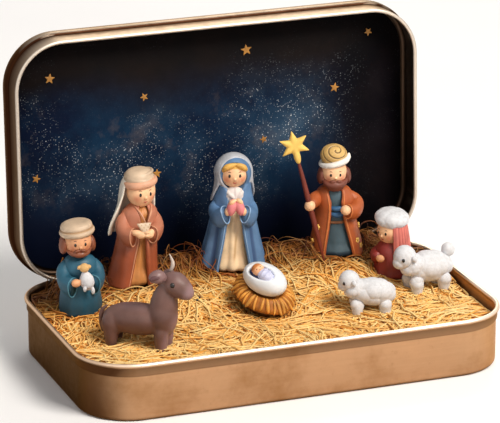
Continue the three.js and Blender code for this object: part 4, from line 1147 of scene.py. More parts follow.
def fibre_tubes(line, half, sides):
    """Flattened tubes of the given half thicknesses round all the lines, their walls and caps."""
    n, rings, _ = line.shape
    run = np.gradient(line, axis=1)
    run /= np.linalg.norm(run, axis=2, keepdims=True)
    side = np.cross(run, [0, 0, 1.0])
    side /= np.maximum(np.linalg.norm(side, axis=2, keepdims=True), 1e-6)
    over = np.cross(side, run)
    turn = np.linspace(0, TAU, sides, endpoint=False)[None, None, :, None]
    offset = np.cos(turn) * side[:, :, None] + 0.8 * np.sin(turn) * over[:, :, None]
    tube = line[:, :, None] + half[..., None, None] * offset
    first = (np.arange(n) * rings * sides)[:, None, None]
    r, c = (grid.ravel() for grid in np.meshgrid(np.arange(rings - 1), np.arange(sides), indexing="ij"))
    beside = (c + 1) % sides
    wall = [r * sides + c, (r + 1) * sides + c, (r + 1) * sides + beside, r * sides + beside]
    ends = np.stack([np.arange(sides), (rings - 1) * sides + np.arange(sides)[::-1]])
    faces = (first + np.stack(wall, -1)[None]).reshape(-1, 4)
    return tube.reshape(-1, 3), faces, (first + ends[None]).reshape(-1, sides)


def strands(
    rng, count, lift, reach, thick, rear=-RIM_HALF[1], spread=0.75, steps=9, sides=3, ring=None
):
    """Fibres as thin tapering tubes: their points, walls and caps, and the tone of each point.

    A fibre's tone carries painted shade: paler the higher it lies, and darker towards the back and by the
    figures' feet.
    """
    x, y = fibre_places(rng, count, rear, ring)
    along = np.linspace(-0.5, 0.5, steps + 1)[None]
    line, depth = fibre_lines(rng, x, y, lift, reach, along, spread, ring)
    half = rng.uniform(*thick, len(x))[:, None] / 2 * (1 - 0.5 * np.abs(2 * along) ** 3)
    points, faces, caps = fibre_tubes(line, half, sides)
    # Painted shade: darker the lower a fibre lies, towards the back and beside the feet
    tone = rng.normal(0.7, 0.16, len(x)) + 0.3 * (depth + 0.3)
    tone -= 0.34 * ease(y, 12, 31) + 0.3 * ease(under_figures(x, y), -4.5, -0.5)
    return points, faces, caps, np.repeat(tone, (steps + 1) * sides)


def make_straw():
    """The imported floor, and five heaps of fibres over it."""
    tray = Figure("tray")
    tray.piece("straw_packed", straw_floor(), "packed", "straw_bed", "straw")
    rng = np.random.default_rng(SEED)
    heaps = {
        "straw_lower": strands(rng, STRANDS, (-0.2, 0.4), (10, 22), (0.7, 1.15), spread=0.9),
        "straw_upper": strands(rng, STRANDS, (0.0, 0.9), (13, 28), (0.55, 0.95), spread=0.5),
        "straw_rear": strands(rng, REAR_STRANDS, (0.0, 1.8), (10, 24), (0.4, 0.75), rear=21),
        "straw_loops": strands(rng, LOOPS, (2.0, 6.5), (10, 22), (0.28, 0.42), 22, 2.0, 14, 5),
        "straw_round_feet": strands(
            rng, FOOT_STRANDS, (0.5, 1.5), (8, 15), (0.5, 0.85), spread=0.35, ring=2.2
        ),
    }
    for name, (points, faces, caps, tone) in heaps.items():
        mesh = bpy.data.meshes.new(name)
        mesh.from_pydata(tray.world(points), [], faces.tolist() + caps.tolist())
        marked(mesh, "tone", tone)
        mesh.polygons.foreach_set("use_smooth", np.ones(len(mesh.polygons), bool))
        mesh.materials.append(FINISHES["fibre"])
        heap = bpy.data.objects.new(name, mesh)
        bpy.context.scene.collection.objects.link(heap)
        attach(heap, "tray")


# Faces, hands and sleeves


def head_at(neck, at, size):
    """A head's middle, given from the neck, and its half sizes."""
    return {"at": np.add(neck, at), "size": np.array(size)}


def on_head(head, across, up, proud=0.0):
    """A place on a head's front: across and up are shares of its half width and half height."""
    front = -math.sqrt(max(0.0, 1 - across**2 - up**2))
    direction = np.array([across, front, up])
    return head["at"] + head["size"] * direction + proud * direction


def make_face(figure, head, finish="skin"):
    """A plain doll's head: eyes at half height, a small nose, a short mouth and warm cheeks."""
    name, size = figure.body, head["size"]
    nose = pebble(on_head(head, 0, NOSE_LEVEL, -0.1), size * (0.12, 0.13, 0.11), rows=14, cols=18)
    skull = pebble(head["at"], size, taper=CHIN_TAPER, rows=40, cols=48)

    def blush(points):
        """Warm spots on both cheeks."""
        cheeks = [on_head(head, side * CHEEK[0], CHEEK[1]) for side in SIDES]
        away = [np.linalg.norm(points - cheek, axis=1) for cheek in cheeks]
        return sum(0.75 * bell(distance, 0, 0.26 * size[0]) for distance in away)

    figure.piece(
        f"{name}_skull", [skull, nose], finish, f"{name}_head", "skin", fuse=0.14, relax=4, accent=blush
    )
    sockets = [on_head(head, side * EYE[0], EYE[1], -0.06) for side in SIDES]
    eyes = [pebble(socket, size * (0.095, 0.06, 0.125), rows=14, cols=18) for socket in sockets]
    figure.piece(f"{name}_eyes", eyes, "eye")
    arch = ((-0.12, 0.0), (0, 0.04), (0.12, 0.0))
    brows = []
    for side in SIDES:
        line = [on_head(head, side * (BROW[0] + d), BROW[1] + u) for d, u in arch]
        brows.append(limb(line, [0.13, 0.17, 0.13], 12, 10))
    figure.piece(f"{name}_brows", brows, "dark_hair")
    across = [MOUTH_HALF * share for share in (-1, -0.5, 0, 0.5, 1)]
    smile = [on_head(head, a, MOUTH_LEVEL - 0.05 * (1 - (a / MOUTH_HALF) ** 2), 0.02) for a in across]
    figure.piece(f"{name}_mouth", limb(smile, [0.14, 0.2, 0.14], 16, 10), "lip")


def mitten(at, size, thumb):
    """A small hand: a palm and a thumb pressed to it."""
    thumb = np.array(thumb)
    return [pebble(at, size), limb([at, at + 0.6 * thumb, at + thumb], [0.9, 0.8, 0.65], 14, 14)]


def bearded(neck, middle, wide, low, jaw, full=1.0):
    """Hair behind a head, a lock at each side, a beard along the jaw and a parted moustache."""
    x, lip = middle, low + 1.7
    back = pebble(neck + (x, 1.4, low + 3.0), (wide - 0.5, 4.5, 4.3))
    locks = []
    whiskers = []
    for s in SIDES:
        at = neck + (x + s * (wide - 1.4), -0.6, low + 2.6)
        locks.append(pebble(at, (1.5, 2.5, 3.0), tilt=-6 * s))
        course = ((0.1, 0.7, 0.2), (1.2, 0.5, 0), (2.4, -0.3, -0.7))
        line = [neck + (x + s * a, -jaw - b, lip + c) for a, b, c in course]
        whiskers.append(limb(line, [0.5, 0.62, 0.45], 16, 12))
    cheek = 0.8 - jaw
    course = [(-4.2, -1.8, 1.6), (-2.6, cheek, 0.5), (0, -jaw, 0.1), (2.6, cheek, 0.5), (4.2, -1.8, 1.6)]
    thick = np.multiply([1.3, 1.35, 1.5, 1.35, 1.3], full)
    beard = limb([neck + (x + a, b, low + c) for a, b, c in course], thick, cols=24)
    return [back, *locks, beard, *whiskers]


def make_sleeves(figure, neck, arms, cloth, hang, accent=None):
    """Both sleeves, each along its line from the neck, with a pale cord round the cuff as a painted
    highlight.
    """
    name = figure.body
    for side, (line, thick) in arms.items():
        sleeve, cuff = bell_sleeve(from_point(neck, *line), thick, hang)
        figure.piece(f"{name}_arm_{side}", sleeve, cloth, f"{name}_sleeve_{side}", cloth, accent=accent)
        # Pale cord round the cuff: a painted highlight
        figure.piece(f"{name}_cuff_{side}", hoop(cuff, CUFF_CORD), f"{cloth}_edge", slot=cloth)


# People


def make_shepherd():
    """The shepherd: a full robe, a wound turban and a lamb held in front."""
    figure = Figure("shepherd", "shepherd_robe")
    neck = np.array([0, 0, 21.0])
    robe = [[6.5, 0], [7.3, 0.5], [7.4, 2], [6.8, 8], [6.3, 13], [6.2, 16.5], [5.0, 19.4], [2.6, 21]]
    gown = turned(robe, folds=(9, 0.22, 9))
    # Painted shade: the gown darker towards its hem
    figure.piece("shepherd_gown", gown, "teal", "shepherd_robe", "teal", accent=by_height(0.7, 9, 1))
    make_face(figure, head_at(neck, (-0.9, -0.8, 4.7), (4.8, 4.7, 4.9)), "face_tan")
    locks = bearded(neck, -0.9, 6.2, 1.1, 4.8, 0.72)
    figure.piece("shepherd_locks", locks, "hair", "shepherd_hair", "hair", fuse=0.18)
    low_roll = [[4.2, 7.2], [5.5, 7.25], [6.05, 8.1], [5.85, 9.0], [5.35, 9.35]]
    high_roll = [[5.5, 10.0], [5.2, 10.9], [4.2, 11.5], [2.4, 11.8], [0.1, 11.9]]
    wound = turned([*low_roll, *high_roll], depth=0.97, at=neck + (0.2, 0, 0), tilt=-7, rows=80)

    def crease(points):
        """Painted shade: darker lines between the rolls and under them."""
        level = rocked(points - neck, 7)[:, 2]
        return 0.85 * bell(level, 9.35, 0.3) + 0.5 * bell(level, 7.2, 0.5)

    figure.piece("shepherd_wrap", wound, "cream", "shepherd_turban", "cream", accent=crease)
    left = [(-3.9, 0.6, -2.0), (-6.0, -1.0, -5.2), (-5.9, -4.0, -8.0), (-4.2, -6.8, -8.4)]
    right = [(3.7, 0.6, -2.0), (5.4, -1.0, -5.2), (5.1, -4.0, -7.8), (3.2, -6.4, -8.2)]
    arms = {"left": (left, [2.1, 2.4, 2.6, 2.5]), "right": (right, [2.1, 2.4, 2.5, 2.5])}
    make_sleeves(figure, neck, arms, "teal", 0.95)
    hand = mitten(neck + (-3.3, -8.0, -7.6), (1.7, 1.4, 1.4), (1.5, -0.4, 0.9))
    figure.piece("shepherd_palm", hand, "face_tan", "shepherd_hand", "skin", fuse=0.14)
    held = neck + (-1.5, 0, 0.8)
    golden = by_height(0.9, held[2] - 5, held[2] - 4.2)
    figure.piece(
        "shepherd_held_lamb", lamb(held), "wool", "shepherd_lamb", "wool", fuse=0.16, accent=golden
    )


def lamb(held):
    """A small lamb held upright: its body, head, ears and hanging legs, given from where it is held."""
    spine = from_point(held, (1.2, -7.6, -4.4), (2.0, -7.8, -8.0), (3.0, -7.2, -11.4))
    ears = [
        [(-0.2, -8.0, -2.3), (-0.9, -8.2, -2.9), (-1.1, -8.2, -3.6)],
        [(2.4, -7.8, -2.3), (3.0, -8.0, -2.9), (3.1, -8.0, -3.6)],
    ]
    legs = [
        [(1.4, -8.6, -9.0), (0.8, -9.4, -10.2), (0.9, -9.2, -11.4)],
        [(3.6, -8.4, -10.0), (3.8, -8.8, -11.4), (3.9, -8.4, -12.8)],
    ]
    return [
        limb(spine, [1.6, 2.4, 2.5, 1.7]),
        pebble(held + (1.1, -8.0, -3.2), (1.7, 1.6, 1.6)),
        *limbs(held, ears, [0.4, 0.6, 0.4], 12, 10),
        *limbs(held, legs, [0.8, 0.7, 0.6], 12, 10),
    ]


def make_father():
    """The father figure: a plain gown, an open coat, clasped hands with a cloth, and a headcloth."""
    figure = Figure("father", "father_coat")
    lean, tall = (0.11, -0.02), 28.2
    neck = np.array([lean[0] * tall, lean[1] * tall, tall])
    robe = [[6.6, 0], [7.2, 0.5], [6.4, 7], [5.3, 16], [5, 22], [4.5, 25], [2.4, 27.2]]
    gown = turned(robe, lean=lean, folds=(15, 0.3, 40))
    figure.piece("father_gown", gown, "tan", "father_robe", "tan")
    coat = [[9.4, 0], [8.3, 7], [7.1, 16], [6.6, 22], [6, 25.6], [3.4, tall]]
    gap = [[25, 0], [19, 10], [12, 18], [16, 24], [34, tall]]
    wrap, edges = cloak(coat, gap, 1.0, lean=lean, folds=(8, 0.24, 16))
    rosier = by_height(0.9, 10, 23)
    figure.piece("father_outer_coat", wrap, "terracotta", "father_coat", "terracotta", accent=rosier)
    lapel = limb(edges[0][:34:6], [0.7, 0.95, 1.0], 40, 14)
    figure.piece("father_lapel", lapel, "terracotta", slot="terracotta", accent=rosier)
    # Pale cord along the coat's edge: a painted highlight
    trim = limb(edges[1][::6], [0.2, 0.22, 0.2], 40, 10)
    figure.piece("father_coat_edge", trim, "terracotta_edge", slot="terracotta")
    crossed = [
        [(-3.0, -2.4, -0.2), (-1.8, -5.0, -2.2), (-0.4, -6.4, -5.6)],
        [(3.0, -2.4, -0.2), (1.9, -5.0, -2.2), (0.2, -6.4, -5.2)],
    ]
    # Pale lines of the crossed collar: painted highlights on its edges
    collar = limbs(neck, crossed, [0.3, 0.36, 0.3], 18, 12)
    figure.piece("father_collar", collar, "terracotta_edge", slot="terracotta")
    make_face(figure, head_at(neck, (0, -0.6, 4.2), (5.0, 4.9, 5.4)))
    left = [(-4.2, 0.5, -2.6), (-7.0, -1.2, -6.4), (-7.0, -4.4, -8.8), (-5.3, -6.8, -8.8)]
    right = [(3.6, 0.5, -2.6), (4.8, -1.4, -6.2), (3.8, -4.9, -8.3), (1.5, -7.2, -8.5)]
    arms = {"left": (left, [2.2, 2.5, 2.6, 2.3]), "right": (right, [2.2, 2.4, 2.5, 2.2])}
    make_sleeves(figure, neck, arms, "terracotta", 0.95, rosier)
    father_hands(figure, neck)
    father_headcloth(figure, neck)


def father_hands(figure, neck):
    """Clasped hands with their wrists and two fingers, and a small spotted cloth between them."""
    wrists = [
        [(-6.0, -6.8, -7.7), (-4.4, -7.9, -8.0), (-2.4, -8.5, -8.5)],
        [(1.6, -7.4, -8.0), (0.6, -8.2, -8.3), (-0.4, -8.6, -8.6)],
    ]
    fingers = [
        [(-2.2, -9.3, -7.9), (-1.3, -9.7, -7.7), (-0.4, -9.5, -8.0)],
        [(-2.2, -9.5, -8.9), (-1.3, -9.9, -8.8), (-0.4, -9.7, -9.0)],
    ]
    clasped = [
        pebble(neck + (-2.5, -8.3, -8.7), (2.1, 1.4, 1.3), tilt=-10),
        pebble(neck + (-0.4, -8.5, -8.8), (1.9, 1.5, 1.4), tilt=14),
        *limbs(neck, wrists, [1.1, 1.2, 1.15], 18, 14),
        *limbs(neck, fingers, [0.5, 0.55, 0.5], 12, 10),
    ]
    figure.piece("father_clasped_hands", clasped, "skin", "father_hands", "skin", fuse=0.14)
    points, faces = fold_star((0, 0, 0), 3.2, 1.75, 0.5, 3, 34, 72, 12)
    scarf = (rocked(points, 6, -24) + neck + (-1.6, -8.1, -6.3), faces)

    def spots(points):
        """A check of spots: where two sines multiply to a high value."""
        return 0.7 * (np.sin(4.2 * points[:, 0]) * np.sin(4.2 * points[:, 2]) > 0.6)

    figure.piece("father_scarf", scarf, "cream", slot="cream", fuse=0.13, relax=4, accent=spots)


def father_headcloth(figure, neck):
    """A rolled band, a cap with two folds under it, and a cloth that hangs behind and to the left."""
    ring = level_ring(neck + (0, 0.1, 7.8), 4.75, tilt=-7)
    swell = 1.3 + 0.25 * np.cos(np.linspace(0, TAU, len(ring), endpoint=False) + 0.5)
    figure.piece("father_brow_band", hoop(ring, swell, 18), "peach", "father_headband", "cream")
    cap = [[4.6, 7.6], [5.1, 8.7], [5.0, 9.9], [4.3, 11.3], [3.0, 12.2], [1.5, 12.5], [0.1, 12.55]]
    veil = [
        turned(cap, depth=1.0, at=neck, tilt=-3),
        hoop(level_ring(neck + (0, 0.1, 9.3), 4.85, tilt=5, nod=5), 0.75, 14),
        hoop(level_ring(neck + (0, 0.2, 10.6), 4.3, tilt=-12, nod=-4), 0.5, 12),
    ]

    def tuck(points):
        """A painted shadow line where the cap goes under the band, in front."""
        level = rocked(points - neck, 5, -5)[:, 2]
        return 0.5 * bell(level, 8.5, 0.35) * (points[:, 1] < neck[1] + 3)

    figure.piece(
        "father_veil", veil, "cream", "father_headcloth", "cream", fuse=0.2, relax=5, accent=tuck
    )
    rows = [
        [(-3.6, -1.2, 10.8), (-3.2, 2.4, 10.8), (0, 4.0, 10.8), (3.0, 2.6, 10.8), (3.8, 0.6, 10.8)],
        [(-5.8, -1.4, 7.1), (-5.4, 2.8, 7.2), (0, 5.7, 7.4), (4.4, 3.8, 7.4), (5.5, 0.8, 7.4)],
        [(-6.8, -1.2, 3.2), (-5.9, 3.4, 3.2), (0, 6.5, 3.4), (4.8, 4.4, 3.4), (5.8, 1.4, 3.4)],
        [(-8.4, -0.4, -1.3), (-6.4, 3.6, -1.3), (0, 7.3, -1.2), (4.9, 5.2, -1.0), (6.0, 1.9, -1.0)],
        [(-9.8, 0.4, -4.8), (-7.4, 4.2, -4.8), (0, 7.7, -4.8), (5.0, 5.6, -4.8), (6.0, 2.4, -4.8)],
        [(-10.9, 1.0, -8.4), (-8.4, 4.6, -8.4), (-0.4, 7.9, -8.6), (5.0, 5.8, -8.6), (6.0, 2.8, -8.6)],
        [(-11.2, 1.2, -11.2), (-8.8, 5.0, -11.4), (-0.6, 8, -11.8), (4.8, 6, -11.8), (5.8, 3, -11.8)],
    ]
    hanging = draped([from_point(neck, *row) for row in rows], 1.1, (5, 0.3))
    # The hanging cloth in the lighter copy of the cream, as painted light
    figure.piece("father_veil_fall", hanging, "painted_light_cream", slot="cream", fuse=0.2, relax=5)


def make_mother():
    """The mother figure: a pleated gown, a folded mantle with a hood, a veil and praying hands."""
    figure = Figure("mother", "mother_mantle")
    lean, tall = (0.02, 0.0), 28.4
    neck = np.array([lean[0] * tall, 0, tall])
    gown = [[7.4, 0], [8.2, 0.6], [7.5, 5], [6.0, 13], [4.9, 20], [4.4, 25.6], [2.4, tall]]
    dress = turned(gown, lean=lean, folds=(11, 0.5, 24), cols=144)

    def pleat(points):
        """Painted shade in one pleat down the front, a little aslant."""
        fold = bell(points[:, 0] - 0.1 * (points[:, 2] - 8), 0.6, 0.45) * (points[:, 1] < 0)
        return 0.75 * fold * ease(points[:, 2], 2, 6) * (1 - ease(points[:, 2], 11, 15))

    figure.piece("mother_dress", dress, "gown", "mother_gown", "gown", accent=pleat)
    make_face(figure, head_at(neck, (0, -1.2, 5.9), (4.95, 4.8, 5.15)))
    left = from_point(neck, (-4.3, -3.3, 6.8), (-2.9, -5.1, 9.0), (0.6, -5.2, 10.3))
    right = from_point(neck, (4.3, -3.3, 7.0), (3.1, -4.9, 8.9), (0.4, -5.2, 10.3))
    fringe = [
        limb(left, [0.75, 1.15, 0.95], 20, 14),
        limb(right, [0.75, 1.1, 0.95], 20, 14),
        pebble(neck + (0, -1.0, 8.3), (4.8, 4.5, 3.0)),
    ]
    figure.piece("mother_fringe", fringe, "blond", fuse=0.16)
    mother_cloak(figure, neck, lean)
    mother_veil(figure, neck)
    left = [(-4.4, 0.2, -3.0), (-6.5, -2.0, -7.0), (-5.7, -5.8, -7.8), (-3.5, -8.4, -5.7)]
    right = [(4.2, 0.2, -3.0), (5.8, -2.0, -7.0), (5.2, -5.8, -7.8), (3.3, -8.4, -5.7)]
    arms = {"left": (left, [2.2, 2.5, 2.5, 2.1]), "right": (right, [2.2, 2.4, 2.5, 2.1])}
    make_sleeves(figure, neck, arms, "blue", 1.5)
    palms = [pebble(neck + (s * 1.4, -9.3, -4.0), (1.65, 1.5, 3.1), tilt=-12 * s) for s in SIDES]
    figure.piece("mother_palms", palms, "rose", "mother_hands", "rose", fuse=0.13, relax=3)
    lines = [
        [(-2.3, -9.1, -3.2), (-1.2, -10.1, -1.8), (0.1, -10.0, -1.1)],
        [(2.3, -9.1, -3.2), (1.4, -9.9, -1.7), (0.2, -9.6, -0.8)],
    ]
    fingers = [
        *limbs(neck, lines, [0.7, 0.9, 0.75], 16, 12),
        *[pebble(neck + (s * 2.8, -8.9, -5.7), (1.0, 1.2, 1.5)) for s in SIDES],
    ]
    figure.piece("mother_fingers", fingers, "skin", slot="skin", fuse=0.13, relax=3)


def mother_cloak(figure, neck, lean):
    """The mantle, deep in folds towards its hem with painted shade in them, with its hood and two pale
    edges as painted highlights.
    """
    mantle = [[11.6, 0], [10.6, 5], [9, 12], [7.7, 19], [7, 24.5], [6.3, 27.5], [5.9, 30.5], [5.7, 32]]
    gap = [[31, 0], [26, 10], [23, 17], [21, 25], [24, 28], [50, 31], [60, 32]]
    folds = 11
    wrap, edges = cloak(mantle, gap, 1.15, lean=lean, folds=(folds, 0.85, 27), rows=80, cols=144)
    hood = bowl(neck + (0, -0.5, 5.8), (6.1, 6.2, 6.4), (56, 66), 1.2, (0, -1, -0.2))

    def creases(points):
        """Painted shade in the valleys of the folds' own cosine, fading out upwards."""
        angle = np.arctan2(points[:, 0] - lean[0] * points[:, 2], -points[:, 1] / FIGURE_DEPTH)
        valley = ease(-np.cos(folds * angle + np.sin(3 * angle)), 0.35, 1)
        return 0.85 * valley * (1 - ease(points[:, 2], 16, 26))

    figure.piece(
        "mother_cloak", [wrap, hood], "blue", "mother_mantle", "blue", fuse=0.26, accent=creases
    )
    # Pale cords along the mantle's edges: painted highlights
    hem = [limb(edge[2:70:6], [0.16, 0.2, 0.16], 40, 10) for edge in edges]
    figure.piece("mother_cloak_edges", hem, "blue_edge", slot="blue")


def mother_veil(figure, neck):
    """The veil, turned a little on the head: its sides and its crown; and the crossed collar under it."""
    fall = [[8.3, -4.5], [7.6, -2], [7.0, 1], [6.75, 4], [6.65, 6.8]]
    gap = [[108, -4.5], [92, -2], [72, 2], [62, 6.8]]
    sides, _ = cloak(fall, gap, 0.85, depth=0.9, folds=(9, 0.2, 8), rows=44)
    crown = bowl((0, 0.2, 5.7), (6.8, 6.5, 7.0), (62, 62), 0.85, (0, -1, 0.05))
    swing = turning("Z", 12)
    veil = [(points @ swing.T + neck, faces) for points, faces in (sides, crown)]
    figure.piece("mother_outer_veil", veil, "veil", "mother_veil", "veil", fuse=0.2, relax=4)
    left = from_point(neck, (-3.4, -2.6, 0.8), (-1.4, -5.1, -1.0), (0.9, -5.9, -3.0))
    right = from_point(neck, (3.4, -2.6, 0.8), (1.9, -5.0, -0.8), (0.6, -5.6, -2.2))
    collar = [
        pebble(neck + (0, -3.9, -1.4), (3.5, 1.7, 3.2), nod=-16),
        limb(left, [0.6, 0.85, 0.7], 18, 14),
        limb(right, [0.6, 0.8, 0.6], 18, 14),
    ]

    def crossing(points):
        """A painted shadow line where the collar crosses."""
        return 0.7 * bell(points[:, 0], neck[0] + 0.1, 0.25)

    figure.piece("mother_collar", collar, "scarf", slot="veil", fuse=0.16, relax=12, accent=crossing)


def make_king():
    """The king: a belted tunic, an open flowered coat, a wound turban, and a staff with a star."""
    figure = Figure("king", "king_coat")
    lean, tall = (-0.05, 0.0), 25.2
    neck = np.array([lean[0] * tall, 0, tall])
    tunic = [[7.0, 0], [7.6, 0.6], [6.7, 5], [5.4, 12], [5, 17], [5.1, 21], [4.2, 23.6]]
    under = turned(tunic, lean=lean, folds=(8, 0.2, 12))
    dark_hem = by_height(0.9, 2.2, 1.6)
    figure.piece("king_under_tunic", under, "slate", "king_tunic", "slate", accent=dark_hem)
    king_coat(figure, lean, tall)
    waist = 12.4
    belt_ring = level_ring((lean[0] * waist, 0, waist), 5.45, FIGURE_DEPTH)
    figure.piece("king_belt", hoop(belt_ring, 0.55), "belt", slot="rust")
    sash = [
        limb([(-3.4, -4.0, 15.6), (-0.8, -5.1, 15.2), (2.6, -4.2, 15.6)], [0.9, 1.1, 0.9], 20, 16),
        limb([(-3.4, -3.9, 17.6), (-0.8, -4.9, 17.4), (2.6, -4.1, 17.8)], [0.8, 1.0, 0.8], 20, 16),
    ]
    figure.piece("king_sash", sash, "sash", slot="slate")
    make_face(figure, head_at(neck, (0, -0.8, 4.4), (4.5, 4.4, 4.7)))
    locks = bearded(neck, 0.0, 5.9, 0.7, 4.9)
    locks.append(pebble(neck + (0, -4.2, 0.0), (2.9, 1.7, 1.6)))
    figure.piece("king_locks", locks, "dark_hair", "king_hair", "hair", fuse=0.18)
    reaching = from_point(neck, (-4.4, 0.2, -3.0), (-7.2, -2.8, -5.0), (-8.7, -7.0, -5.2))
    left = limb(reaching, [2.4, 2.6, 2.3])
    figure.piece("king_arm_left", left, "rust", "king_sleeve_left", "rust")
    bent = from_point(neck, (4.4, 0.2, -3.0), (7.8, -0.8, -7.0), (6.6, -4.8, -8.4), (4.2, -6.8, -7.8))
    right, cuff = bell_sleeve(bent, [2.4, 2.7, 2.6, 2.1], 0.5)
    figure.piece("king_arm_right", right, "rust", "king_sleeve_right", "rust")
    # Pale cord round the cuff: a painted highlight
    figure.piece("king_cuff_right", hoop(cuff, 0.24), "rust_edge", slot="rust")
    foot, top = np.array([-5.8, -11.2, -0.1]), np.array([-16.3, -9.0, 42.4])
    down = (foot - top) / np.linalg.norm(foot - top)
    rod = limb([foot, foot + 0.5 * (top - foot), top + 4.5 * down], [0.7, 0.95, 0.95, 0.9], 40, 18)
    figure.piece("king_rod", rod, "staff", "king_staff", "staff")
    gripping = pebble(foot + 0.49 * (top - foot), (1.9, 1.9, 1.9))
    figure.piece("king_fist_left", gripping, "skin", "king_hand_left", "skin")
    resting = pebble(neck + (3.2, -7.8, -7.4), (1.8, 1.8, 1.8))
    figure.piece("king_fist_right", resting, "skin", "king_hand_right", "skin")
    king_turban(figure, neck)
    star = fold_star(top, 5.7, 2.75, 1.15, 6, 42)
    socket = limb([top + 1.2 * down, top + 3.8 * down, top + 6.6 * down], [1.15, 1.2, 1.15], 20, 18)
    puffed = [star, socket]
    figure.piece("king_puffed_star", puffed, "gold", "king_star", "gold_clay", fuse=0.13, relax=3)


def king_coat(figure, lean, tall):
    """The open coat with its bright edges as painted highlights, and small flowers of five beads pressed
    on it.
    """
    coat = [[9.6, 0], [9.2, 4], [7.9, 10], [7, 16], [6.9, 20.5], [5.4, 23.6], [2.8, tall]]
    gap = [[36, 0], [30, 8], [24, 14], [20, 20], [40, tall]]
    wrap, edges = cloak(coat, gap, 1.1, lean=lean, folds=(7, 0.3, 14))
    figure.piece("king_outer_coat", wrap, "rust", "king_coat", "rust")
    # Pale cords along the coat's edges: painted highlights
    trims = [limb(edge[::6], [0.34, 0.4, 0.34], 40, 10) for edge in edges]
    figure.piece("king_coat_edges", trims, "rust_edge", slot="rust")
    front = ((-58, 10.5), (-74, 5.0), (50, 5.6), (60, 3.4))
    behind = ((92, 9.5), (128, 5), (160, 12), (205, 6), (240, 13))
    petals = []
    for degrees, z in front + behind:
        a = math.radians(degrees)
        reach = graded(coat, z) + 0.1
        middle = np.array([reach * math.sin(a) + lean[0] * z, -reach * math.cos(a) * FIGURE_DEPTH, z])
        side, up = np.array([math.cos(a), math.sin(a) * FIGURE_DEPTH, 0]), np.array([0, 0, 1.0])
        for turn in (TAU * k / 5 + a for k in range(5)):
            spot = middle + 0.66 * (math.cos(turn) * side + math.sin(turn) * up)
            petals.append(pebble(spot, (0.42, 0.42, 0.42), rows=8, cols=10))
    figure.piece("king_coat_flowers", petals, "gold", slot="gold_clay")


def king_turban(figure, neck):
    """A white roll with a tucked end, and a domed turban wound in a spiral.

    The spiral's groove is where the angle from the swirl's axis, less the turn about it, comes round.
    """
    ring = level_ring(neck + (0, 0, 8.3), 4.55, tilt=-13)
    swell = 1.05 + 0.15 * np.cos(np.linspace(0, TAU, len(ring), endpoint=False) - 1.4)
    end = from_point(neck, (3.6, -2.6, 8.9), (4.8, -1.6, 10.0), (5.2, -0.8, 11.4))
    roll = [hoop(ring, swell, 18), limb(end, [0.8, 0.95, 0.6], 20, 14)]
    figure.piece("king_head_roll", roll, "white", "king_turban_band", "wool", fuse=0.15, relax=4)
    middle, size = neck + (0, 0.2, 10.4), np.array([4.75, 4.75, 3.95])
    axis = np.array([0.1, -0.7, 0.7])
    east = np.cross(axis, [1.0, 0, 0])

    def swirl(points):
        """The spiral's groove, on the front and the top."""
        spoke = (points - middle) / size
        length = np.maximum(np.linalg.norm(spoke, axis=1), 1e-6)
        polar = np.arccos(np.clip(spoke @ axis / length, -1, 1))
        around = np.arctan2(spoke @ np.cross(axis, east), spoke @ east) / TAU
        place = np.abs((polar / 0.5 - around) % 1 - 0.5) * 2
        return ease(place, 0.72, 0.96) * (polar < 1.9)

    points, faces = pebble(middle, size, rows=80, cols=100)
    points = points - (points - middle) * (0.08 * swirl(points))[:, None]
    figure.piece("king_wound_turban", (points, faces), "turban", "king_turban", "gold_clay", accent=swirl)


def make_child():
    """The child: a short robe, a pleated headcloth turned aside, and a tufted wool hat."""
    figure = Figure("child", "child_robe")
    neck = np.array([0, 0, 13.2])
    robe = [[5.6, 0], [6.3, 0.6], [6.3, 3.6], [5.9, 8], [5, 11.2], [3, 13.2]]
    gown = turned(robe, depth=0.95, folds=(9, 0.3, 9))
    figure.piece("child_gown", gown, "crimson", "child_robe", "crimson")
    make_face(figure, head_at(neck, (0, -0.8, 3.2), (4.5, 4.5, 4.6)))
    cloth = [[6.8, -4.6], [6.4, -1], [5.8, 3], [5.2, 6.6]]
    folds, aside = 26, 24
    (points, faces), _ = cloak(cloth, [[78, -4.6], [76, 7]], 1.0, 1.0, folds=(folds, 0.24, 20), cols=180)
    pleated = (points @ turning("Z", -aside).T + neck, faces)

    def pleats(points):
        """Painted shade in the valleys of the pleats' own cosine."""
        angle = np.arctan2(points[:, 0], -points[:, 1]) + math.radians(aside)
        return 0.7 * ease(-np.cos(folds * angle + np.sin(3 * angle)), 0.3, 1)

    figure.piece("child_pleated_cloth", pleated, "pink", "child_headcloth", "pink", accent=pleats)
    hat = pebble(neck + (0, 0, 7.8), (6.0, 5.8, 3.2), tilt=4, rows=40, cols=60)
    tufts = (22, 2.9, 0.4, -1)
    figure.piece("child_wool_hat", hat, "wool", "child_hat", "wool", fuse=0.2, relax=3, puff=tufts)
    line = from_point(neck, (-3.2, -0.8, -2.8), (-4.1, -3.9, -5.2), (-1.4, -6.2, -5.4))
    sleeve, _ = bell_sleeve(line, [1.8, 1.9, 1.8], 0.3)
    figure.piece("child_arm", sleeve, "crimson", "child_sleeve", "crimson")
    hand = mitten(neck + (1.0, -6.9, -5.2), (1.7, 1.3, 1.3), (1.4, -0.3, 0.8))
    figure.piece("child_palm", hand, "face_tan", "child_hand", "skin", fuse=0.13)


# Animals


def four_legs(x, y, top, thick, sink):
    """Four upright limbs at the corners of a stance, ending a little below the ground."""
    corners = [(sx * x, sy * y) for sx in (1, -1) for sy in (1, -1)]
    return [limb([(*corner, z) for z in (top, top / 2, -sink)], thick, 22, 18) for corner in corners]


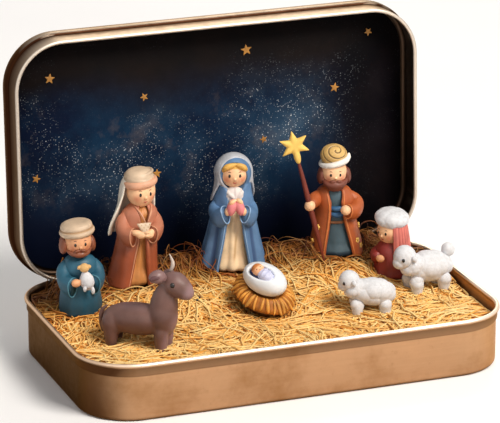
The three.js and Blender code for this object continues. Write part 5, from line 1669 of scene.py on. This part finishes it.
def make_ox():
    """The ox: a body melted from limbs and pebbles, two ears with dark hollows, a horn and a tail."""
    figure = Figure("ox", "ox_body")
    back = [(-12.4, 0, 10), (-6, 0, 10.2), (4, 0, 10.4), (11.4, 0, 10.6)]
    body = [
        limb(back, [4.8, 5.5, 5.5, 5.6, 5.2], 40, 30),
        limb([(8.4, 0, 8.5), (9.0, 0, 16.5), (10.4, 0, 24.6)], [5.4, 5.0, 4.4, 3.7], 34, 28),
        pebble((8.8, 0, 12.5), (4.8, 5.5, 7.4)),
        limb([(8.8, 0, 26), (13, 0, 23.9), (19, 0, 19.8)], [3.7, 4.4, 3.7, 3.0], 30, 26),
        *[pebble((-8.6, side * 2.3, 8.4), (3.7, 3.0, 4.6)) for side in SIDES],
        *four_legs(8.8, 2.8, 10.5, [2.9, 2.6, 2.3, 2.2], 1.2),
    ]

    def paler(points):
        """Where the coat is paler: the muzzle, the rump's top and the crown."""
        muzzle = ease(points[:, 0] - 0.4 * (points[:, 2] - 20), 15.0, 17.6)
        rump = ease(points[:, 2], 13.5, 16) * (points[:, 0] < 4)
        return 0.8 * muzzle + 0.45 * rump + 0.3 * ease(points[:, 2], 24, 29)

    figure.piece("ox_modelled_body", body, "ox", "ox_body", "ox", fuse=0.28, relax=26, accent=paler)
    near = [(10.4, -1.6, 26.0), (8.2, -4.8, 27.5), (6.2, -6.7, 27.0)]
    far = [(10.4, 1.6, 25.6), (9.4, 4.0, 25.0), (8.6, 5.4, 23.4)]
    for name, line, node, s in (("ox_near_ear", near, "ox_ear", -1), ("ox_far_ear", far, None, 1)):
        ear = limb(line, [1.4, 2.4, 2.2], 24, 20)
        figure.piece(name, ear, "ox", node, "ox", accent=all_over(0.45))
        hollow = np.add(line, [(0.3, s * 1.5, 0.6), (0.3, s * 1.1, 0.2), (0.4, s * 0.9, 0.1)])
        figure.piece(f"{name}_inside", limb(hollow, [0.6, 1.35, 1.1], 18, 14), "ox_hollow", slot="ox")
    horn = limb([(10.7, 1.9, 27.4), (11.4, 2.3, 30), (10.1, 2.6, 33.4)], [0.85, 0.7, 0.5, 0.28], 26, 14)
    figure.piece("ox_far_horn", horn, "horn", "ox_horn", "horn")
    hanging = [(-11, 0, 14), (-12.8, 0, 12), (-13.2, 0, 8), (-12.5, 0, 4.4)]
    tail = limb(hanging, [0.8, 0.75, 0.8, 1.05], 28, 14)
    figure.piece("ox_hanging_tail", tail, "ox", "ox_tail", "ox")
    eyes = [pebble((13.3, side * 3.9, 24.7), (0.8, 0.6, 0.9), rows=12, cols=16) for side in SIDES]
    nostrils = [pebble((21.0, side * 1.3, 19.6), (0.35, 0.3, 0.45), rows=10, cols=12) for side in SIDES]
    figure.piece("ox_eyes", eyes + nostrils, "eye")


def make_sheep(body, size, head_place, tail):
    """A sheep of a given size: a tufted fleece melted from limbs, a smooth face with ears, and a tail."""
    figure = Figure(body, f"{body}_body")

    def grown(points):
        """Measures of the sheep of size 1, at this one's size."""
        return np.multiply(points, size)

    back = grown([(-8.2, 0, 7.4), (-3, 0, 8.2), (3, 0, 8.4), (7.0, 0, 8)])
    chest = grown([(4.2, 0, 7.6), (5.6, 0, 10.2), (6.6, 0, 12.0)])
    fleece = [
        limb(back, grown([3.9, 4.5, 4.4, 3.8]), 34, 28),
        limb(chest, grown([4.0, 3.9, 3.3]), 24, 22),
        *four_legs(4.8 * size, 2.3 * size, 6 * size, grown([2.5, 2.1, 1.95, 1.85]), 0.3),
    ]
    tufts = (32, 3.1 * size, 0.55 * size, 2.4 * size)
    figure.piece(
        f"{body}_fleece", fleece, "wool", f"{body}_body", "wool", fuse=0.22, relax=14, puff=tufts
    )
    at = grown(head_place)
    face = [
        pebble(at, grown((3.6, 3.4, 3.8)), tilt=24, rows=36, cols=44),
        pebble(at + grown((1.9, 0, -1.6)), grown((2.1, 2.2, 2.1)), tilt=24),
    ]
    figure.piece(f"{body}_face", face, "wool", f"{body}_head", "wool", fuse=0.2, relax=12)
    ears, eyes = [], []
    for s in SIDES:
        line = at + grown([(-0.8, s * 2.7, 0.8), (-1.3, s * 3.7, 0.1), (-1.5, s * 3.9, -1.0)])
        ears.append(limb(line, grown([0.7, 0.85, 0.55]), 16, 14))
        eye = at + grown((2.0, s * 2.65, -0.1))
        eyes.append(pebble(eye, grown((0.55, 0.45, 0.65)), rows=12, cols=16))
    figure.piece(f"{body}_ears", ears, "wool", slot="wool")
    figure.piece(f"{body}_eyes", eyes, "eye")
    if tail:
        puff = pebble(grown((-7.4, 0, 12.6)), grown((2.0, 1.9, 2.1)), rows=30, cols=36)
        tufts = (14, 1.6, 0.25, 0)
        figure.piece(f"{body}_tail_puff", puff, "wool", f"{body}_tail", "wool", puff=tufts)


# Manger


def make_manger():
    """The manger, rocked on its foot's edge where it sinks into the straw."""
    figure = Figure("manger")
    pitch, roll = math.radians(MANGER_PITCH), math.radians(MANGER_ROLL)
    rock = np.array(Matrix.Rotation(roll, 3, "X") @ Matrix.Rotation(pitch, 3, "Y"))
    x, y, _ = STANDS["manger"]
    bed = float(straw_height(np.array(x), np.array(y)))
    rise = BASKET_FOOT * math.hypot(math.sin(pitch), BASKET_DEPTH * math.sin(roll))
    figure.shift = np.array([x, y, bed - NEST_DEPTH + rise])
    figure.turn = figure.turn @ rock
    make_basket(figure)
    make_cushion(figure)
    make_baby(figure)


def basket_rib(k):
    """One pale rib over the basket's side, a little off its even place, skewed, and longer or shorter."""
    angle = TAU * (k + 0.34 * math.sin(7 * k)) / RIBS
    skew = 0.05 * math.sin(3 * k + 2)
    out = 0.45 * math.sin(5 * k + 1)
    over = [(7.2, 6.75), (9.2, 5.95), (10.9, 4.2)]
    course = [*over, (11.4 + out, 3.3 - 0.5 * out), (10.8 + out, 2.7 - 0.9 * out)]
    swing = np.linspace(angle - skew, angle + skew, len(course))
    line = [(r * math.cos(t), BASKET_DEPTH * r * math.sin(t), z) for (r, z), t in zip(course, swing)]
    full = 1 + 0.28 * math.sin(4 * k)
    return limb(line, np.multiply([0.42, 0.5, 0.54, 0.5, 0.3], full), 24, 12)


def make_basket(figure):
    """An oval dish, darker below and between its ribs as painted shade."""
    outer = [[7.0, 0.1], [8.0, 0.2], [10.3, 1.9], [11.2, 3.0], [11.1, 3.7], [9.8, 5.2], [8.4, 6.3]]
    inner = [[7.4, 6.6], [6.4, 6.2], [5.8, 4.8], [0.1, 4.7]]
    dish = turned([*outer, *inner], depth=BASKET_DEPTH, rows=90, cols=128)

    def between(points):
        """Painted shade: darker between the ribs, and darkest below."""
        around = np.arctan2(points[:, 1] / BASKET_DEPTH, points[:, 0])
        gaps = ease(-np.cos(RIBS * around), 0.2, 1)
        return np.clip(0.35 * gaps + 0.9 * ease(points[:, 2], 3.2, 2.2), 0, 1)

    figure.piece("manger_woven_basket", dish, "basket", "manger_basket", "basket", accent=between)
    ribs = [basket_rib(k) for k in range(RIBS)]
    # Painted shade: the ribs darker towards their lower ends
    figure.piece("manger_ribs", ribs, "rib", slot="basket", accent=by_height(1, 3.4, 2.4))


def make_cushion(figure):
    """A padded egg with an oval hollow, and a deep blue shell inside it that stands for the shade in the
    hollow.
    """
    shell = bowl(CUSHION_MIDDLE, CUSHION_SIZE, (46, 36), CUSHION_THICK, HOLLOW_FACING, 30, 44, 80)
    pillow = figure.piece("manger_pillow", shell, "cushion", "manger_cushion", "wool")
    # Painted shade: a deep blue shell that shows as shade round the baby in the hollow
    lining = pebble(CUSHION_MIDDLE, CUSHION_SIZE - (CUSHION_THICK + 0.02), rows=40, cols=48)
    figure.piece("manger_hollow", lining, "shadow", slot="swaddle")


def make_baby(figure):
    """The swaddled baby in the hollow: a head with shut eyes and a small mouth, and a banded wrap."""
    at, size = np.array([-3.1, -2.1, 13.8]), np.array([2.2, 2.1, 2.1])

    def crown(points):
        """The back of the head, where the hair would be."""
        return ease((at - points) @ np.array([0.9, -0.1, -0.3]), 0.0, 0.9)

    skull = pebble(at, size, rows=30, cols=36)
    figure.piece("baby_skull", skull, "bald", "baby_head", "skin", accent=crown)
    up = np.array([-0.93, 0.12, 0.3])
    front = HOLLOW_FACING - up * (HOLLOW_FACING @ up)
    front /= np.linalg.norm(front)
    side = np.cross(up, front)

    def stroke(middle, level, bend):
        """A short line on the face, bent at its middle."""
        line = []
        for d in (-0.14, 0, 0.14):
            across, high = middle + d, level + (0 if d else bend)
            way = across * side + high * up + math.sqrt(1 - across**2 - high**2) * front
            line.append(at + way * size)
        return limb(line, [0.1, 0.14, 0.1], 10, 8)

    figure.piece("baby_eyelids", [stroke(s * 0.36, -0.02, -0.05) for s in SIDES], "eye")
    figure.piece("baby_mouth", stroke(0, -0.39, -0.03), "lip")
    wrap = [pebble((0.3, -2.1, 12.9), (3.4, 2.5, 2.1), tilt=20, rows=36, cols=44)]
    bend = np.linspace(-1.3, 1.3, 7)
    for shift in (-1.0, 0.4, 1.8):
        waist = 1 - 0.045 * shift**2
        y, z = -2.1 + 2.4 * waist * np.sin(bend), 13.0 - 0.36 * shift + 1.95 * waist * np.cos(bend)
        wrap.append(limb(np.stack([0 * bend + shift + 0.5, y, z], -1), [0.25, 0.34, 0.25], 20, 12))
    figure.piece("baby_wrap", wrap, "swaddle", "baby_swaddle", "swaddle", fuse=0.13, relax=4)


# Studio


def make_world(scene):
    """An even pale world, dim as a light and white as seen directly, in metal or through glass."""
    world = bpy.data.worlds.new("studio")
    scene.world = world
    world.use_nodes = True
    nodes, links = world.node_tree.nodes, world.node_tree.links
    background = nodes["Background"]
    path = nodes.new("ShaderNodeLightPath")
    seen = nodes.new("ShaderNodeMath")
    seen.operation = "MAXIMUM"
    links.new(path.outputs["Is Camera Ray"], seen.inputs[0])
    shiny = nodes.new("ShaderNodeMath")
    shiny.operation = "MAXIMUM"
    links.new(path.outputs["Is Glossy Ray"], shiny.inputs[0])
    links.new(path.outputs["Is Transmission Ray"], shiny.inputs[1])
    links.new(shiny.outputs[0], seen.inputs[1])
    strength = nodes.new("ShaderNodeMapRange")
    links.new(seen.outputs[0], strength.inputs["Value"])
    strength.inputs["To Min"].default_value = 0.27
    strength.inputs["To Max"].default_value = 1.0
    links.new(strength.outputs[0], background.inputs["Strength"])
    background.inputs["Color"].default_value = (1, 0.99, 0.98, 1)


def make_floor(scene):
    """A wide pale floor, which isn't part of the object."""
    floor = bpy.data.meshes.new("floor")
    corners = [(x * FLOOR_REACH, y * FLOOR_REACH, 0) for x, y in ((-1, -1), (1, -1), (1, 1), (-1, 1))]
    floor.from_pydata(corners, [], [(0, 1, 2, 3)])
    pale = Finish("pale_floor")
    tone = pale.ramp(pale.noise(9, 2), [(0.3, tint("f4f5f8")), (0.7, tint("f8f9fb"))])
    pale.set(Base_Color=tone, Roughness=0.9)
    floor.materials.append(pale.material)
    ground = bpy.data.objects.new("floor", floor)
    scene.collection.objects.link(ground)


def make_lamps(scene):
    """Three soft lamps, aimed at the tin. A row is a lamp's name, place, size, power and colour."""
    lamps = (
        ("key", (0.4, -0.74, 0.95), 0.5, 17.5, (1.0, 0.93, 0.84)),
        ("fill", (-0.75, -0.7, 0.5), 0.8, 1.8, (1.0, 0.92, 0.84)),
        ("rim", (0.35, 0.75, 0.7), 0.4, 3.0, (1.0, 0.95, 0.88)),
    )
    for name, place, size, power, colour in lamps:
        lamp = bpy.data.lights.new(name, "AREA")
        lamp.size = size
        lamp.energy = power
        lamp.color = colour
        lit = bpy.data.objects.new(name, lamp)
        lit.location = place
        lit.rotation_euler = (Vector(LAMP_TARGET) - Vector(place)).to_track_quat("-Z", "Y").to_euler()
        scene.collection.objects.link(lit)


def make_camera(scene):
    """The camera, drawn back from its target along the view's azimuth and elevation."""
    camera = bpy.data.cameras.new("camera")
    camera.sensor_width = SENSOR
    camera.lens = LENS
    camera.clip_start, camera.clip_end = 0.05, 20
    view = bpy.data.objects.new("camera", camera)
    a, e = math.radians(VIEW_AZIMUTH), math.radians(VIEW_ELEVATION)
    back = Vector((math.sin(a) * math.cos(e), -math.cos(a) * math.cos(e), math.sin(e)))
    view.location = (Vector(VIEW_TARGET) + back * VIEW_DISTANCE) * MM
    view.rotation_euler = (-back).to_track_quat("-Z", "Y").to_euler()
    scene.collection.objects.link(view)
    scene.camera = view


def make_studio():
    """World, floor, lamps and camera, with colours shown as they are."""
    scene = bpy.context.scene
    scene.view_settings.view_transform = "Standard"
    make_world(scene)
    make_floor(scene)
    make_lamps(scene)
    make_camera(scene)


make_tray()
make_lid()
make_straw()
make_shepherd()
make_father()
make_mother()
make_king()
make_child()
make_ox()
make_sheep("small_sheep", 1.0, (7.4, 0, 12.4), False)
make_sheep("large_sheep", 1.12, (8.0, 0, 12.6), True)
make_manger()
make_studio()
